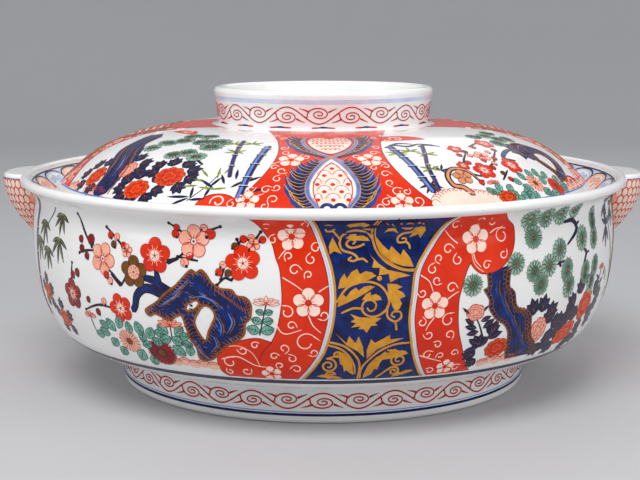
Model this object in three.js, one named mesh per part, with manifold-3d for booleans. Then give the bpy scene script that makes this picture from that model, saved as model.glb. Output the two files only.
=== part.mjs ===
// Covered rice-serving bowl in turned porcelain: a wide bowl on a foot ring, with a small moulded
// lug handle on each side, and a loose domed lid with a grip ring. Millimetres, +Z up.
// The origin is the centre of the foot's underside. The handles lie on the X axis, the front is -Y.
import * as THREE from "three";
import { mergeVertices } from "three/addons/utils/BufferGeometryUtils.js";
import Module from "manifold-3d";

const wasm = await Module();
wasm.setup();

// ---- Driving dimensions -------------------------------------------------------------------
const RIM_RADIUS = 140; // outermost point of the bowl's rim
const RIM_TOP = 96.4; // height of the rim's rounded top
const BEAD_HEIGHT = 4.2; // the rounded white bead that ends the wall
const BEAD_WIDTH = 4.6; // its width, measured along the radius
const BELLY_RADIUS = 134.8; // widest part of the wall, below the rim
const BELLY_HEIGHT = 68;
const WALL = 5; // wall thickness of the bowl
const FLOOR = 6; // thickness of its bottom
const FOOT_RADIUS = 95; // outside of the foot ring
const FOOT_HEIGHT = 17.5; // underside of the bowl above the table
const FOOT_WALL = 8;
const SEAT_HEIGHT = 85.5; // flat ledge inside the rim that carries the lid
const SEAT_OUTER_RADIUS = 126;
const SEAT_INNER_RADIUS = 118.5;
const SEAT_THICKNESS = 3;
const LID_EDGE_RADIUS = 124.8;
const LID_EDGE_WIDTH = 5; // flat underside of the lid's edge
const LID_TOP = 118; // highest point of the dome
const LID_WALL = 4.5;
const GRIP_RADIUS = 51; // outside of the grip ring at its lip
const GRIP_BASE_RADIUS = 49;
const GRIP_WALL = 4.6;
const TOTAL_HEIGHT = 135.3; // top of the grip ring
const HANDLE_REACH = 150; // from the bowl's axis to a handle's tip
const HANDLE_HALF_WIDTH = 24; // half of its width where it meets the wall
const HANDLE_TOP = 95.6;
const HANDLE_DEPTH = 31; // from its top down to where it runs out on the wall
const HANDLE_EDGE = 1.6; // rounding between a handle's top and its sides
const HANDLE_ROOT = 126; // radius where a handle's plan starts, inside the wall
const HANDLE_CURVES = { plan: 2.6, reach: 2.2, width: 1.8 }; // powers of its outline curves
const ROUND_EDGE = 1.5; // rounding of the foot ring's inner bottom edge
const FOOT_EDGE = 2; // and of its outer one
const LID_EDGE_ROUND = 1.8; // rounding of the lid's outer edge
const LID_EDGE_CHAMFER = 0.6; // chamfer of its inner edge
const GAP = 0.3; // clearance between two pieces that are luted or laid together

const SEGMENTS = 60; // facets round each turned piece
const HANDLE_STEPS = 14; // facets across a handle
const HANDLE_LEVELS = [0.2, 0.36, 0.5, 0.62, 0.73, 0.83, 0.92, 0.98]; // shares of its depth
const WHITE_GLAZE = { color: 0xf3f1ec, roughness: 0.15, metalness: 0 };

// ---- Profiles: lists of (radius, height) points -------------------------------------------
const at = (r, z) => new THREE.Vector2(r, z);

// Elliptical arc, with its angles in degrees, anticlockwise from the outward direction.
function arc(centreR, centreZ, radiusR, radiusZ, fromDeg, toDeg, steps = 4) {
  return Array.from({ length: steps + 1 }, (_, i) => {
    const angle = THREE.MathUtils.degToRad(fromDeg + ((toDeg - fromDeg) * i) / steps);
    return at(centreR + radiusR * Math.cos(angle), centreZ + radiusZ * Math.sin(angle));
  });
}

// Smooth curve through a few chosen points.
function smooth(points, steps) {
  return new THREE.SplineCurve(points.map(([r, z]) => at(r, z))).getPoints(steps);
}

// Copy of a curve, moved sideways by a distance to the left of its direction of travel.
function offset(curve, distance) {
  return curve.map((point, i) => {
    const before = curve[Math.max(i - 1, 0)];
    const after = curve[Math.min(i + 1, curve.length - 1)];
    const along = after.clone().sub(before).normalize();
    return at(point.x - along.y * distance, point.y + along.x * distance);
  });
}

// Turned solid. LatheGeometry turns its profile about +Y, so it is stood up afterwards.
function turned(profile) {
  return new THREE.LatheGeometry(profile, SEGMENTS).rotateX(Math.PI / 2);
}

// ---- Outside of the bowl, shared by the body and by the handles shaped against it ----------
const outerWall = smooth(
  [
    [98, FOOT_HEIGHT],
    [106, FOOT_HEIGHT + 0.8],
    [113.5, FOOT_HEIGHT + 3.1],
    [119.5, FOOT_HEIGHT + 6.5],
    [124.4, FOOT_HEIGHT + 10.9],
    [128.2, FOOT_HEIGHT + 17.5],
    [131.8, BELLY_HEIGHT - 24],
    [133.9, BELLY_HEIGHT - 13],
    [BELLY_RADIUS, BELLY_HEIGHT],
    [BELLY_RADIUS - 0.3, BELLY_HEIGHT + 10],
    [BELLY_RADIUS - 1.2, BELLY_HEIGHT + 17],
    [BELLY_RADIUS - 0.4, BELLY_HEIGHT + 21],
  ],
  16,
);
const beadRadius = RIM_RADIUS - BEAD_WIDTH / 2;
const beadHeight = RIM_TOP - BEAD_HEIGHT / 2;
const rimBead = arc(beadRadius, beadHeight, BEAD_WIDTH / 2, BEAD_HEIGHT / 2, -75, 180, 7);

// ---- Pieces -------------------------------------------------------------------------------
function bowlBody() {
  const floorHeight = FOOT_HEIGHT + FLOOR;
  const ledgeNose = arc(SEAT_INNER_RADIUS + 1, SEAT_HEIGHT - 1, 1, 1, 90, 180, 2);
  const inside = offset(outerWall.slice(3, 13), WALL).reverse();
  return turned([
    at(0, FOOT_HEIGHT),
    ...outerWall,
    ...rimBead,
    at(SEAT_OUTER_RADIUS, SEAT_HEIGHT),
    ...ledgeNose,
    at(SEAT_INNER_RADIUS, SEAT_HEIGHT - SEAT_THICKNESS),
    ...inside,
    at(FOOT_RADIUS, floorHeight),
    at(0, floorHeight),
  ]);
}

function footRing() {
  const inner = FOOT_RADIUS - FOOT_WALL;
  const top = FOOT_HEIGHT - GAP;
  const outline = [
    ...arc(inner + ROUND_EDGE, ROUND_EDGE, ROUND_EDGE, ROUND_EDGE, 180, 270, 2),
    ...arc(FOOT_RADIUS - FOOT_EDGE, FOOT_EDGE, FOOT_EDGE, FOOT_EDGE, 270, 360, 2),
    at(FOOT_RADIUS + 0.6, top),
    at(inner - 1, top),
  ];
  return turned([...outline, outline[0].clone()]);
}

function lidDome() {
  const edgeHeight = SEAT_HEIGHT + GAP;
  const outside = smooth(
    [
      [124, LID_TOP - 28.6],
      [121.6, LID_TOP - 25.6],
      [117, LID_TOP - 20.9],
      [110, LID_TOP - 15],
      [102, LID_TOP - 10],
      [92, LID_TOP - 5.9],
      [80, LID_TOP - 2.5],
      [65, LID_TOP - 0.5],
      [GRIP_RADIUS, LID_TOP],
    ],
    11,
  );
  const inside = offset(outside.slice(2), LID_WALL).reverse();
  const edgeRadius = LID_EDGE_RADIUS - LID_EDGE_ROUND;
  const innerEdge = edgeRadius - LID_EDGE_WIDTH;
  const round = LID_EDGE_ROUND;
  const edge = arc(edgeRadius, edgeHeight + round, round, round, -90, 20, 4);
  return turned([
    at(0, LID_TOP - LID_WALL),
    ...inside,
    at(innerEdge, edgeHeight + LID_EDGE_CHAMFER),
    at(innerEdge + LID_EDGE_CHAMFER, edgeHeight),
    ...edge,
    ...outside,
    at(0, LID_TOP),
  ]);
}

function lidGripRing() {
  const base = LID_TOP + GAP;
  const lip = GRIP_WALL / 2;
  const outline = [
    at(GRIP_BASE_RADIUS - GRIP_WALL, base),
    at(GRIP_BASE_RADIUS, base),
    at(GRIP_BASE_RADIUS + 0.3, base + 4),
    ...arc(GRIP_RADIUS - lip, TOTAL_HEIGHT - lip, lip, lip, 0, 180, 6),
  ];
  return turned([...outline, outline[0].clone()]);
}

// Plan of a handle at one level: a broad lobe that reaches out from inside the wall along +X.
// Its power sets how square the lobe is, where 2 is an ellipse.
function handlePlan(reach, halfWidth) {
  const power = 2 / HANDLE_CURVES.plan;
  return Array.from({ length: HANDLE_STEPS + 1 }, (_, i) => {
    const angle = (i / HANDLE_STEPS - 0.5) * Math.PI;
    const out = Math.cos(angle) ** power;
    const side = Math.sign(angle) * Math.abs(Math.sin(angle)) ** power;
    return [HANDLE_ROOT + (reach - HANDLE_ROOT) * out, halfWidth * side];
  });
}

// Uncut handle, as a stack of plans: flat on top with a rounded edge, then tapering down to
// nothing on the wall as a corbel does.
function handleBlank() {
  const corner = [1, 0.3, 0].map((inset, i) => [inset * HANDLE_EDGE, (i * HANDLE_EDGE) / 2]);
  const levels = corner.map(([inset, down]) => ({
    z: HANDLE_TOP - down,
    plan: handlePlan(HANDLE_REACH - inset, HANDLE_HALF_WIDTH - inset),
  }));
  for (const t of HANDLE_LEVELS) {
    const reach = BELLY_RADIUS + (HANDLE_REACH - BELLY_RADIUS) * (1 - t ** HANDLE_CURVES.reach);
    const halfWidth = HANDLE_HALF_WIDTH * (1 - t ** HANDLE_CURVES.width);
    levels.push({ z: HANDLE_TOP - t * HANDLE_DEPTH, plan: handlePlan(reach, halfWidth) });
  }
  const ring = HANDLE_STEPS + 1;
  const positions = levels.flatMap(({ z, plan }) => plan.flatMap(([x, y]) => [x, y, z]));
  const faces = [];
  for (let i = 1; i < ring - 1; i += 1) {
    const last = (levels.length - 1) * ring;
    faces.push(0, i, i + 1);
    faces.push(last, last + i + 1, last + i);
  }
  for (let level = 0; level < levels.length - 1; level += 1) {
    for (let i = 0; i < ring; i += 1) {
      const a = level * ring + i;
      const b = level * ring + ((i + 1) % ring);
      faces.push(a, a + ring, b, b, a + ring, b + ring);
    }
  }
  const blank = new THREE.BufferGeometry();
  blank.setAttribute("position", new THREE.Float32BufferAttribute(positions, 3));
  return blank.setIndex(faces);
}

// ---- Cutting one solid by another ---------------------------------------------------------
function toSolid(geometry) {
  const bare = geometry.clone().deleteAttribute("normal").deleteAttribute("uv");
  const merged = mergeVertices(bare, 1e-4);
  return new wasm.Manifold(
    new wasm.Mesh({
      numProp: 3,
      vertProperties: merged.attributes.position.array,
      triVerts: new Uint32Array(merged.index.array),
    }),
  );
}

function toGeometry(solid) {
  const mesh = solid.getMesh();
  const geometry = new THREE.BufferGeometry();
  geometry.setAttribute("position", new THREE.BufferAttribute(mesh.vertProperties, 3));
  geometry.setIndex(new THREE.BufferAttribute(mesh.triVerts, 1));
  geometry.computeVertexNormals();
  return geometry;
}

// The bowl's outside, filled in and grown by the gap: a handle's back is cut to fit it.
function wallClearance() {
  const grow = ({ x, y }) => at(x + GAP, y);
  const top = RIM_TOP + 1;
  const widest = rimBead.slice(0, 4);
  return toSolid(
    turned([
      at(0, FOOT_HEIGHT),
      ...outerWall.map(grow),
      ...widest.map(grow),
      at(RIM_RADIUS + GAP, top),
      at(0, top),
    ]),
  );
}

function handle() {
  return toGeometry(toSolid(handleBlank()).subtract(wallClearance()));
}

// ---- Assembly -----------------------------------------------------------------------------
function piece(name, geometry) {
  const mesh = new THREE.Mesh(geometry, new THREE.MeshStandardMaterial(WHITE_GLAZE));
  mesh.name = name;
  return mesh;
}

const bowl = new THREE.Group();
bowl.add(piece("bowl_body", bowlBody()), piece("bowl_foot_ring", footRing()));
const rightHandle = piece("handle_right", handle());
const leftHandle = piece("handle_left", handle());
leftHandle.rotation.z = Math.PI;
bowl.add(rightHandle, leftHandle);

const lid = new THREE.Group();
lid.add(piece("lid_dome", lidDome()), piece("lid_grip_ring", lidGripRing()));

const group = new THREE.Group();
group.add(bowl, lid);

export default group;
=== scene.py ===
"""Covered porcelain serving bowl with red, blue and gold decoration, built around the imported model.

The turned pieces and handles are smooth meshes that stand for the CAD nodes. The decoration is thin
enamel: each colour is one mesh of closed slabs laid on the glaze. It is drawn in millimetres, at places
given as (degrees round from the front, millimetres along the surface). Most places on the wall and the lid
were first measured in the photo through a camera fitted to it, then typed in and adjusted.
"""

import math
import random

import bpy
import numpy as np
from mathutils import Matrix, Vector
from mathutils.geometry import delaunay_2d_cdt


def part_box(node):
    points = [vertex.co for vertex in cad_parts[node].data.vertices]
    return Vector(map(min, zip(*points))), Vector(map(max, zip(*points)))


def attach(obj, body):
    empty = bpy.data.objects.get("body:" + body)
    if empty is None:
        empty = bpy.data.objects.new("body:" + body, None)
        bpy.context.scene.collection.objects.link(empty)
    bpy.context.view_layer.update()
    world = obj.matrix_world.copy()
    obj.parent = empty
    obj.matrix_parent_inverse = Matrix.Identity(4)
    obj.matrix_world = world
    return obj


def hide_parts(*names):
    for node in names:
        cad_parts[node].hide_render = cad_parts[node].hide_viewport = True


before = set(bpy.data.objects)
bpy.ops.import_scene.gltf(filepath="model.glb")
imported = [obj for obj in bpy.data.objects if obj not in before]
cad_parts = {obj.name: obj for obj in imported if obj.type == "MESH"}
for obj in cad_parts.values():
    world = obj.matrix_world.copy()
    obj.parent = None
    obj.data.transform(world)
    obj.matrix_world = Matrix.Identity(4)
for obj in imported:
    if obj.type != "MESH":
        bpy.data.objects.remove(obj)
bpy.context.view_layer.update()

MM = 0.001
TURN_SEGMENTS = 300  # facets round each turned piece
FIRST_LIFT = 0.06  # height of the first layer of enamel over the glaze, mm
LAYER_LIFT = 0.035  # each further layer
SHAPE_LIFT = 0.0006  # each shape lies this much over the one drawn before it
SHAPE_CYCLE = 40  # and the count starts again after this many
SUNK = 0.05  # how far the slabs reach into the glaze
CELL = 2.6  # longest edge inside a painted patch, so that it follows the curved wall
WALL_DEGREE = 2.34  # mm in a degree round the bowl's wall, about its middle
LID_DEGREE = 2.1  # mm in a degree round the lid, near its edge
OUTLINE_DEGREE = 2.3  # mm in a degree, for rounding off outlines on either
HANDLE_DEGREE = 0.45  # mm in a degree round a handle's plan

# Layers of enamel, from the glaze up
GROUND, BELOW, SHAPE, OVER, DETAIL, TOP = range(6)


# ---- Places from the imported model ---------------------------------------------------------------
def box_mm(node):
    low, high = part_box(node)
    return [v / MM for v in low], [v / MM for v in high]


BODY_LOW, BODY_HIGH = box_mm("bowl_body")
FOOT_LOW, FOOT_HIGH = box_mm("bowl_foot_ring")
LID_LOW, LID_HIGH = box_mm("lid_dome")
GRIP_LOW, GRIP_HIGH = box_mm("lid_grip_ring")
HANDLE_LOW, HANDLE_HIGH = box_mm("handle_right")
RIM = BODY_HIGH[0]  # radius of the rim
RIM_TOP = BODY_HIGH[2]
UNDERSIDE = BODY_LOW[2]  # the bowl's underside, on top of the foot ring
FOOT = FOOT_HIGH[0]  # outer radius of the foot ring, at its top
LID_EDGE = LID_HIGH[0]
LID_BASE = LID_LOW[2]
LID_TOP = LID_HIGH[2]
GRIP = GRIP_HIGH[0]
GRIP_TOP = GRIP_HIGH[2]
HANDLE_REACH = HANDLE_HIGH[0]
HANDLE_WIDTH = HANDLE_HIGH[1]  # half of its width
HANDLE_TOP = HANDLE_HIGH[2]
HANDLE_DEPTH = 31.0
HANDLE_FOOT = 0.985  # share of its depth at which it ends
HANDLE_SHY = 0.26  # the handle's glaze stops this far inside its box, to leave room for the enamel
BEAD_WIDE = 2.3  # half of the rounded rim's width
BEAD_TALL = 2.1  # half of its height
WALL = 5.0
SEAT = LID_BASE - 0.3  # height of the ledge that carries the lid


# ---- Curves ---------------------------------------------------------------------------------------
def smooth(points, step, closed=False):
    """Catmull-Rom curve through the points, with samples about one step apart."""
    pts = np.asarray(points, float)
    if closed:
        pts = np.vstack([pts[-1], pts, pts[:2]])
    else:
        pts = np.vstack([2 * pts[0] - pts[1], pts, 2 * pts[-1] - pts[-2]])
    out = []
    for a, b, c, d in zip(pts, pts[1:], pts[2:], pts[3:]):
        count = max(1, math.ceil(np.hypot(*(c - b)) / step))
        t = np.arange(count)[:, None] / count
        cubic = 2 * b + (c - a) * t + (2 * a - 5 * b + 4 * c - d) * t**2 + (3 * b - a - 3 * c + d) * t**3
        out.append(cubic / 2)
    if not closed:
        out.append(pts[-2][None])
    return np.vstack(out)


def arc_points(centre, radii, start, end, count):
    """Points of an elliptical arc, with angles in degrees from the first axis."""
    angles = np.radians(np.linspace(start, end, count))
    return [(centre[0] + radii[0] * math.cos(a), centre[1] + radii[1] * math.sin(a)) for a in angles]


def oval(radius, tall, count):
    """Points all round an ellipse, or a circle where tall is None."""
    return arc_points((0, 0), (radius, radius if tall is None else tall), 0, 360 - 360 / count, count)


def offset_curve(points, distance):
    """The curve moved to the left of its direction of travel."""
    pts = np.asarray(points, float)
    along = np.gradient(pts, axis=0)
    along /= np.linalg.norm(along, axis=1)[:, None]
    return pts + distance * np.column_stack([-along[:, 1], along[:, 0]])


def refine(points, step):
    """The closed outline with its long edges divided."""
    out = []
    for a, b in zip(points, np.roll(points, -1, axis=0)):
        count = max(1, math.ceil(np.hypot(*(b - a)) / step))
        out.extend(a + (b - a) * i / count for i in range(count))
    return np.array(out)


def inside(points, loop):
    """Which of the points lie inside the closed loop."""
    x, y = points[:, 0], points[:, 1]
    hit = np.zeros(len(points), bool)
    for (ax, ay), (bx, by) in zip(loop, np.roll(loop, -1, axis=0)):
        if ay == by:
            continue
        crosses = (ay > y) != (by > y)
        hit ^= crosses & (x < (bx - ax) * (y - ay) / (by - ay) + ax)
    return hit


# ---- Surfaces that carry paint ----------------------------------------------------------------------
class TurnedSurface:
    """A stretch of a turned profile. Places on it are (degrees from the front, mm along the profile)."""

    def __init__(self, outline, side):
        line = smooth(outline, 0.5)
        steps = np.hypot(*np.diff(line, axis=0).T)
        self.along = np.concatenate([[0], np.cumsum(steps)])
        self.line = line
        self.side = side  # +1 where the paint is to the right of the direction of travel
        tangent = np.gradient(line, axis=0)
        tangent /= np.linalg.norm(tangent, axis=1)[:, None]
        self.normal = side * np.column_stack([tangent[:, 1], -tangent[:, 0]])

    def mm_per_degree(self, v):
        return np.interp(v, self.along, self.line[:, 0]) * math.pi / 180

    def place(self, theta, v, lift):
        r = np.interp(v, self.along, self.line[:, 0]) + lift * np.interp(v, self.along, self.normal[:, 0])
        z = np.interp(v, self.along, self.line[:, 1]) + lift * np.interp(v, self.along, self.normal[:, 1])
        a = np.radians(theta)
        return np.column_stack([r * np.sin(a), -r * np.cos(a), z]) * MM


class HandleSurface:
    """The side of a handle. Places on it are (degrees round its plan, mm down from its top)."""

    side = -1

    def __init__(self, turn):
        self.turn = turn  # 0 on the right, 180 on the left

    def mm_per_degree(self, v):
        return HANDLE_DEGREE + 0 * np.asarray(v, float)

    def bare(self, theta, v):
        t = np.clip(v / HANDLE_DEPTH, 0, HANDLE_FOOT)
        x, y = handle_plan(theta, t)
        return np.column_stack([x, y, HANDLE_TOP - np.asarray(v, float)])

    def place(self, theta, v, lift):
        degree, step = 1.0, 0.05
        here = self.bare(theta, v)
        across = self.bare(theta + degree, v) - self.bare(theta - degree, v)
        down = self.bare(theta, v + step) - self.bare(theta, v - step)
        normal = np.cross(down, across)
        normal /= np.linalg.norm(normal, axis=1)[:, None] + 1e-12
        here = here + normal * np.asarray(lift)[:, None]
        if self.turn:
            here[:, :2] *= -1
        return here * MM


def outside_radius(z):
    """Radius of the bowl's outside at a height on its upper half, rounded rim included."""
    wall = smooth(WALL_OUTLINE, 1.2)
    level = np.clip((np.asarray(z, float) - RIM_TOP + BEAD_TALL) / BEAD_TALL, -0.87, 1)
    bead = RIM - BEAD_WIDE + BEAD_WIDE * np.sqrt(1 - level**2)
    return np.where(z < wall[-1, 1], np.interp(z, wall[:, 1], wall[:, 0]), bead)


def handle_back(y, t):
    """Distance from the axis at which the handle, at depth t, meets the bowl."""
    sunk = 0.3
    touch = outside_radius(HANDLE_TOP - np.asarray(t, float) * HANDLE_DEPTH) - sunk
    return np.sqrt(touch**2 - y**2)


def handle_plan(angle, t):
    """Plan of a handle at depth t (0 top, 1 foot): a squarish lobe that ends against the wall."""
    power = 2 / 2.6
    belly = RIM - 5.2
    root = RIM - 14
    a = np.radians(angle)
    reach = belly + (HANDLE_REACH - HANDLE_SHY - belly) * (1 - t**2.2)
    half = HANDLE_WIDTH * (1 - t**1.8)
    out = np.abs(np.cos(a)) ** power
    x = root + (reach - root) * out
    y = half * np.sign(a) * np.abs(np.sin(a)) ** power
    return np.maximum(x, handle_back(y, t)), y


WALL_OUTLINE = [
    (RIM - 42, UNDERSIDE),
    (RIM - 34, UNDERSIDE + 0.8),
    (RIM - 26.5, UNDERSIDE + 3.1),
    (RIM - 20.5, UNDERSIDE + 6.5),
    (RIM - 15.6, UNDERSIDE + 10.9),
    (RIM - 11.8, UNDERSIDE + 17.5),
    (RIM - 8.2, UNDERSIDE + 26.5),
    (RIM - 6.1, UNDERSIDE + 37.5),
    (RIM - 5.2, UNDERSIDE + 50.5),
    (RIM - 5.5, UNDERSIDE + 60.5),
    (RIM - 6.3, UNDERSIDE + 67.5),
    (RIM - 5.4, UNDERSIDE + 71.5),
    (RIM - 2.3, UNDERSIDE + 74.6),
]
LID_OUTLINE = [
    (GRIP, LID_TOP),
    (65, LID_TOP - 0.5),
    (80, LID_TOP - 2.5),
    (92, LID_TOP - 5.9),
    (102, LID_TOP - 10),
    (110, LID_TOP - 15),
    (117, LID_TOP - 20.9),
    (121.6, LID_TOP - 25.6),
    (124, LID_TOP - 28.6),
    (LID_EDGE - 0.05, LID_BASE + 1.9),
]
SLOPE_OUTLINE = [(RIM - 14, SEAT), (RIM - 9.3, SEAT + 4.4), (RIM - 4.6, RIM_TOP - 2.1)]
FOOT_OUTLINE = [(FOOT - 0.7, 1), (FOOT - 0.6, 5), (FOOT - 0.4, 10), (FOOT - 0.1, 15.5)]
GRIP_OUTLINE = [
    (GRIP - 1.9, LID_TOP + 0.5),
    (GRIP - 1.8, LID_TOP + 3),
    (GRIP - 1.3, LID_TOP + 7.5),
    (GRIP - 0.5, LID_TOP + 12),
    (GRIP, LID_TOP + 15),
]
wall_surface = TurnedSurface(WALL_OUTLINE, 1)
lid_surface = TurnedSurface(LID_OUTLINE, -1)
slope_surface = TurnedSurface(SLOPE_OUTLINE, -1)
foot_surface = TurnedSurface(FOOT_OUTLINE, 1)
grip_surface = TurnedSurface(GRIP_OUTLINE, 1)


# ---- Meshes ---------------------------------------------------------------------------------------
def new_piece(name, vertices, faces, body, material):
    """Smooth mesh piece that rides on a body."""
    mesh = bpy.data.meshes.new(name)
    mesh.from_pydata([tuple(v) for v in vertices], [], faces)
    mesh.validate()
    mesh.polygons.foreach_set("use_smooth", np.ones(len(mesh.polygons), bool))
    mesh.materials.append(material)
    piece = bpy.data.objects.new(name, mesh)
    bpy.context.scene.collection.objects.link(piece)
    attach(piece, body)
    return piece


def turned_piece(name, profile, body, material, node):
    """Solid of revolution from a closed profile of (radius, height), anticlockwise right of the axis."""
    pts = [tuple(p) for p in profile]
    vertices = []
    rings = []
    for r, z in pts:
        if r < 1e-6:
            rings.append([len(vertices)])
            vertices.append((0, 0, z * MM))
            continue
        rings.append(list(range(len(vertices), len(vertices) + TURN_SEGMENTS)))
        for i in range(TURN_SEGMENTS):
            a = 2 * math.pi * i / TURN_SEGMENTS
            vertices.append((r * math.cos(a) * MM, r * math.sin(a) * MM, z * MM))
    faces = []
    for low, high in zip(rings, rings[1:] + rings[:1]):
        if len(low) == 1 and len(high) == 1:
            continue
        for i in range(TURN_SEGMENTS):
            j = (i + 1) % TURN_SEGMENTS
            if len(low) == 1:
                faces.append((low[0], high[j], high[i]))
            elif len(high) == 1:
                faces.append((low[i], low[j], high[0]))
            else:
                faces.append((low[i], low[j], high[j], high[i]))
    piece = new_piece(name, vertices, faces, body, material)
    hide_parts(node)
    return piece


def bowl_profile():
    outer = smooth(WALL_OUTLINE, 1.2)
    floor_high = UNDERSIDE + 6
    bead = arc_points((RIM - BEAD_WIDE, RIM_TOP - BEAD_TALL), (BEAD_WIDE, BEAD_TALL), -60, 180, 18)
    slope = smooth(SLOPE_OUTLINE, 0.8)[::-1]
    ledge = [(RIM - 16, SEAT), (RIM - 18, SEAT)]
    nose = arc_points((RIM - 20.5, SEAT - 1), (1, 1), 90, 180, 5)
    under = [(RIM - 21.5, SEAT - 3), (RIM - 20.6, SEAT - 4.2)]
    inner = offset_curve(outer, WALL)
    inner = [tuple(p) for p in inner if UNDERSIDE + 8 < p[1] < SEAT - 14][::-1]
    floor = smooth([inner[-1], (RIM - 28, floor_high + 1.2), (RIM - 45, floor_high)], 1.5)
    middle = [(r, floor_high) for r in (70, 40, 10, 0)]
    bottom = [(r, UNDERSIDE) for r in (0, 10, 40, 70, 90)]
    outside = bottom + list(outer) + bead[1:] + list(slope[1:])
    return outside + ledge + nose + under + inner + list(floor[1:]) + middle


def foot_profile():
    inner = FOOT - 8.6
    bottom_in = arc_points((inner + 1.5, 1.5), (1.5, 1.5), 180, 270, 6)
    bottom_out = arc_points((FOOT - 2.6, 2), (2, 2), 270, 360, 7)
    side = list(smooth(FOOT_OUTLINE[1:], 1.5))
    fillet = [(FOOT + 0.5, UNDERSIDE - 0.9), (FOOT + 1.5, UNDERSIDE - 0.25), (FOOT + 2.9, UNDERSIDE)]
    top = [(FOOT + 2.4, UNDERSIDE + 0.4), (inner - 2, UNDERSIDE + 0.4)]
    inside_fillet = [(inner - 2.4, UNDERSIDE), (inner - 1.2, UNDERSIDE - 0.5), (inner - 0.6, UNDERSIDE - 2)]
    return bottom_in + bottom_out + side + fillet + top + inside_fillet


def lid_profile():
    outer = smooth(LID_OUTLINE[:-1], 1.2)[::-1]
    wall = 4.5
    inner = offset_curve(outer, wall)
    inner = [tuple(p) for p in inner if p[1] > LID_BASE + 6][::-1]
    edge = arc_points((LID_EDGE - 1.8, LID_BASE + 1.8), (1.8, 1.8), -90, 20, 9)
    heel = LID_EDGE - 6.8
    inside_edge = [(heel - 0.2, LID_BASE + 1.6), (heel + 0.1, LID_BASE + 0.6), (heel + 0.6, LID_BASE)]
    crown = [(r, LID_TOP - wall) for r in (0, 10, 25, 40)]
    top = [(r, LID_TOP) for r in (40, 25, 10, 0)]
    return crown + inner + inside_edge + edge + list(outer) + top


def grip_profile():
    lip = 2.3
    outer = list(smooth(GRIP_OUTLINE, 1.2))
    inner = GRIP - 6.5
    base = [(inner, LID_TOP - 0.4), (GRIP + 0.2, LID_TOP - 0.4)]
    fillet = [(GRIP + 0.1, LID_TOP), (GRIP - 0.9, LID_TOP + 0.15), (GRIP - 1.6, LID_TOP + 0.45)]
    bead = arc_points((GRIP - lip, GRIP_TOP - lip), (lip, lip), 5, 175, 14)
    inside_wall = [
        (GRIP - 5.2, GRIP_TOP - 8), (GRIP - 6.1, LID_TOP + 3), (GRIP - 6.6, LID_TOP + 1),
        (GRIP - 8, LID_TOP),
    ]
    return base + fillet + outer[1:] + bead + inside_wall


def handle_piece(name, turn, material, node):
    """Lug handle lofted down from its flat top, with a rounded upper edge, into the wall."""
    edge = 1.6
    sign = -1 if turn else 1
    across = np.linspace(-90, 90, 61)
    levels = [
        (edge * (1 - math.sin(a)), edge * (1 - math.cos(a)))
        for a in np.radians(np.linspace(0, 90, 6))
    ]
    levels += [(0, d) for d in np.linspace(edge, HANDLE_DEPTH * HANDLE_FOOT, 30)[1:]]
    vertices = []
    for inset, depth in levels:
        x, y = handle_plan(across, depth / HANDLE_DEPTH)
        reach = x.max()
        x = x - inset * (x - x.min()) / (reach - x.min() + 1e-9)
        y = y * (1 - inset / max(np.abs(y).max(), 1e-6))
        back = np.linspace(y[-1], y[0], 17)[1:-1]
        x = np.concatenate([x, handle_back(back, depth / HANDLE_DEPTH)])
        y = np.concatenate([y, back])
        for px, py in zip(x, y):
            vertices.append((sign * px * MM, sign * py * MM, (HANDLE_TOP - depth) * MM))
    count = len(x)
    faces = [tuple(range(count))]
    for level in range(len(levels) - 1):
        for i in range(count):
            a = level * count + i
            b = level * count + (i + 1) % count
            faces.append((a, a + count, b + count, b))
    faces.append(tuple(range(len(vertices) - 1, len(vertices) - 1 - count, -1)))
    piece = new_piece(name, vertices, faces, "bowl", material)
    for polygon in (piece.data.polygons[0], piece.data.polygons[len(piece.data.polygons) - 1]):
        polygon.use_smooth = False
    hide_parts(node)
    return piece


# ---- Materials ------------------------------------------------------------------------------------
def srgb(r, g, b):
    def linear(c):
        c /= 255
        return c / 12.92 if c <= 0.04045 else ((c + 0.055) / 1.055) ** 2.4

    return (linear(r), linear(g), linear(b), 1)


def glaze(name, light, dark, roughness, grain, metallic=0.0, spread=0.5, specular=0.5, bump=0.02):
    """Fired glaze or enamel: two tones of one colour clouded together, uneven gloss and a slight waviness.

    grain is the size of the clouds in metres, spread how much of the darker tone shows.
    """
    material = bpy.data.materials.new(name)
    material.use_nodes = True
    nodes, links = material.node_tree.nodes, material.node_tree.links
    shader = nodes["Principled BSDF"]
    shader.inputs["Metallic"].default_value = metallic
    shader.inputs["Specular IOR Level"].default_value = specular
    coords = nodes.new("ShaderNodeTexCoord")
    cloud = nodes.new("ShaderNodeTexNoise")
    cloud.inputs["Scale"].default_value = 1 / grain
    cloud.inputs["Detail"].default_value = 4
    links.new(coords.outputs["Object"], cloud.inputs["Vector"])
    ramp = nodes.new("ShaderNodeValToRGB")
    ramp.color_ramp.elements[0].position = 0.25
    ramp.color_ramp.elements[0].color = dark
    ramp.color_ramp.elements[1].position = 0.5 + 0.5 * spread
    ramp.color_ramp.elements[1].color = light
    links.new(cloud.outputs["Fac"], ramp.inputs["Fac"])
    links.new(ramp.outputs["Color"], shader.inputs["Base Color"])
    uneven = nodes.new("ShaderNodeMapRange")
    uneven.inputs["To Min"].default_value = roughness * 0.8
    uneven.inputs["To Max"].default_value = roughness * 1.25
    links.new(cloud.outputs["Fac"], uneven.inputs["Value"])
    links.new(uneven.outputs["Result"], shader.inputs["Roughness"])
    wave = nodes.new("ShaderNodeTexNoise")
    wave.inputs["Scale"].default_value = 120
    wave.inputs["Detail"].default_value = 2
    links.new(coords.outputs["Object"], wave.inputs["Vector"])
    relief = nodes.new("ShaderNodeBump")
    relief.inputs["Strength"].default_value = bump
    relief.inputs["Distance"].default_value = 0.002
    links.new(wave.outputs["Fac"], relief.inputs["Height"])
    links.new(relief.outputs["Normal"], shader.inputs["Normal"])
    return material


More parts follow.
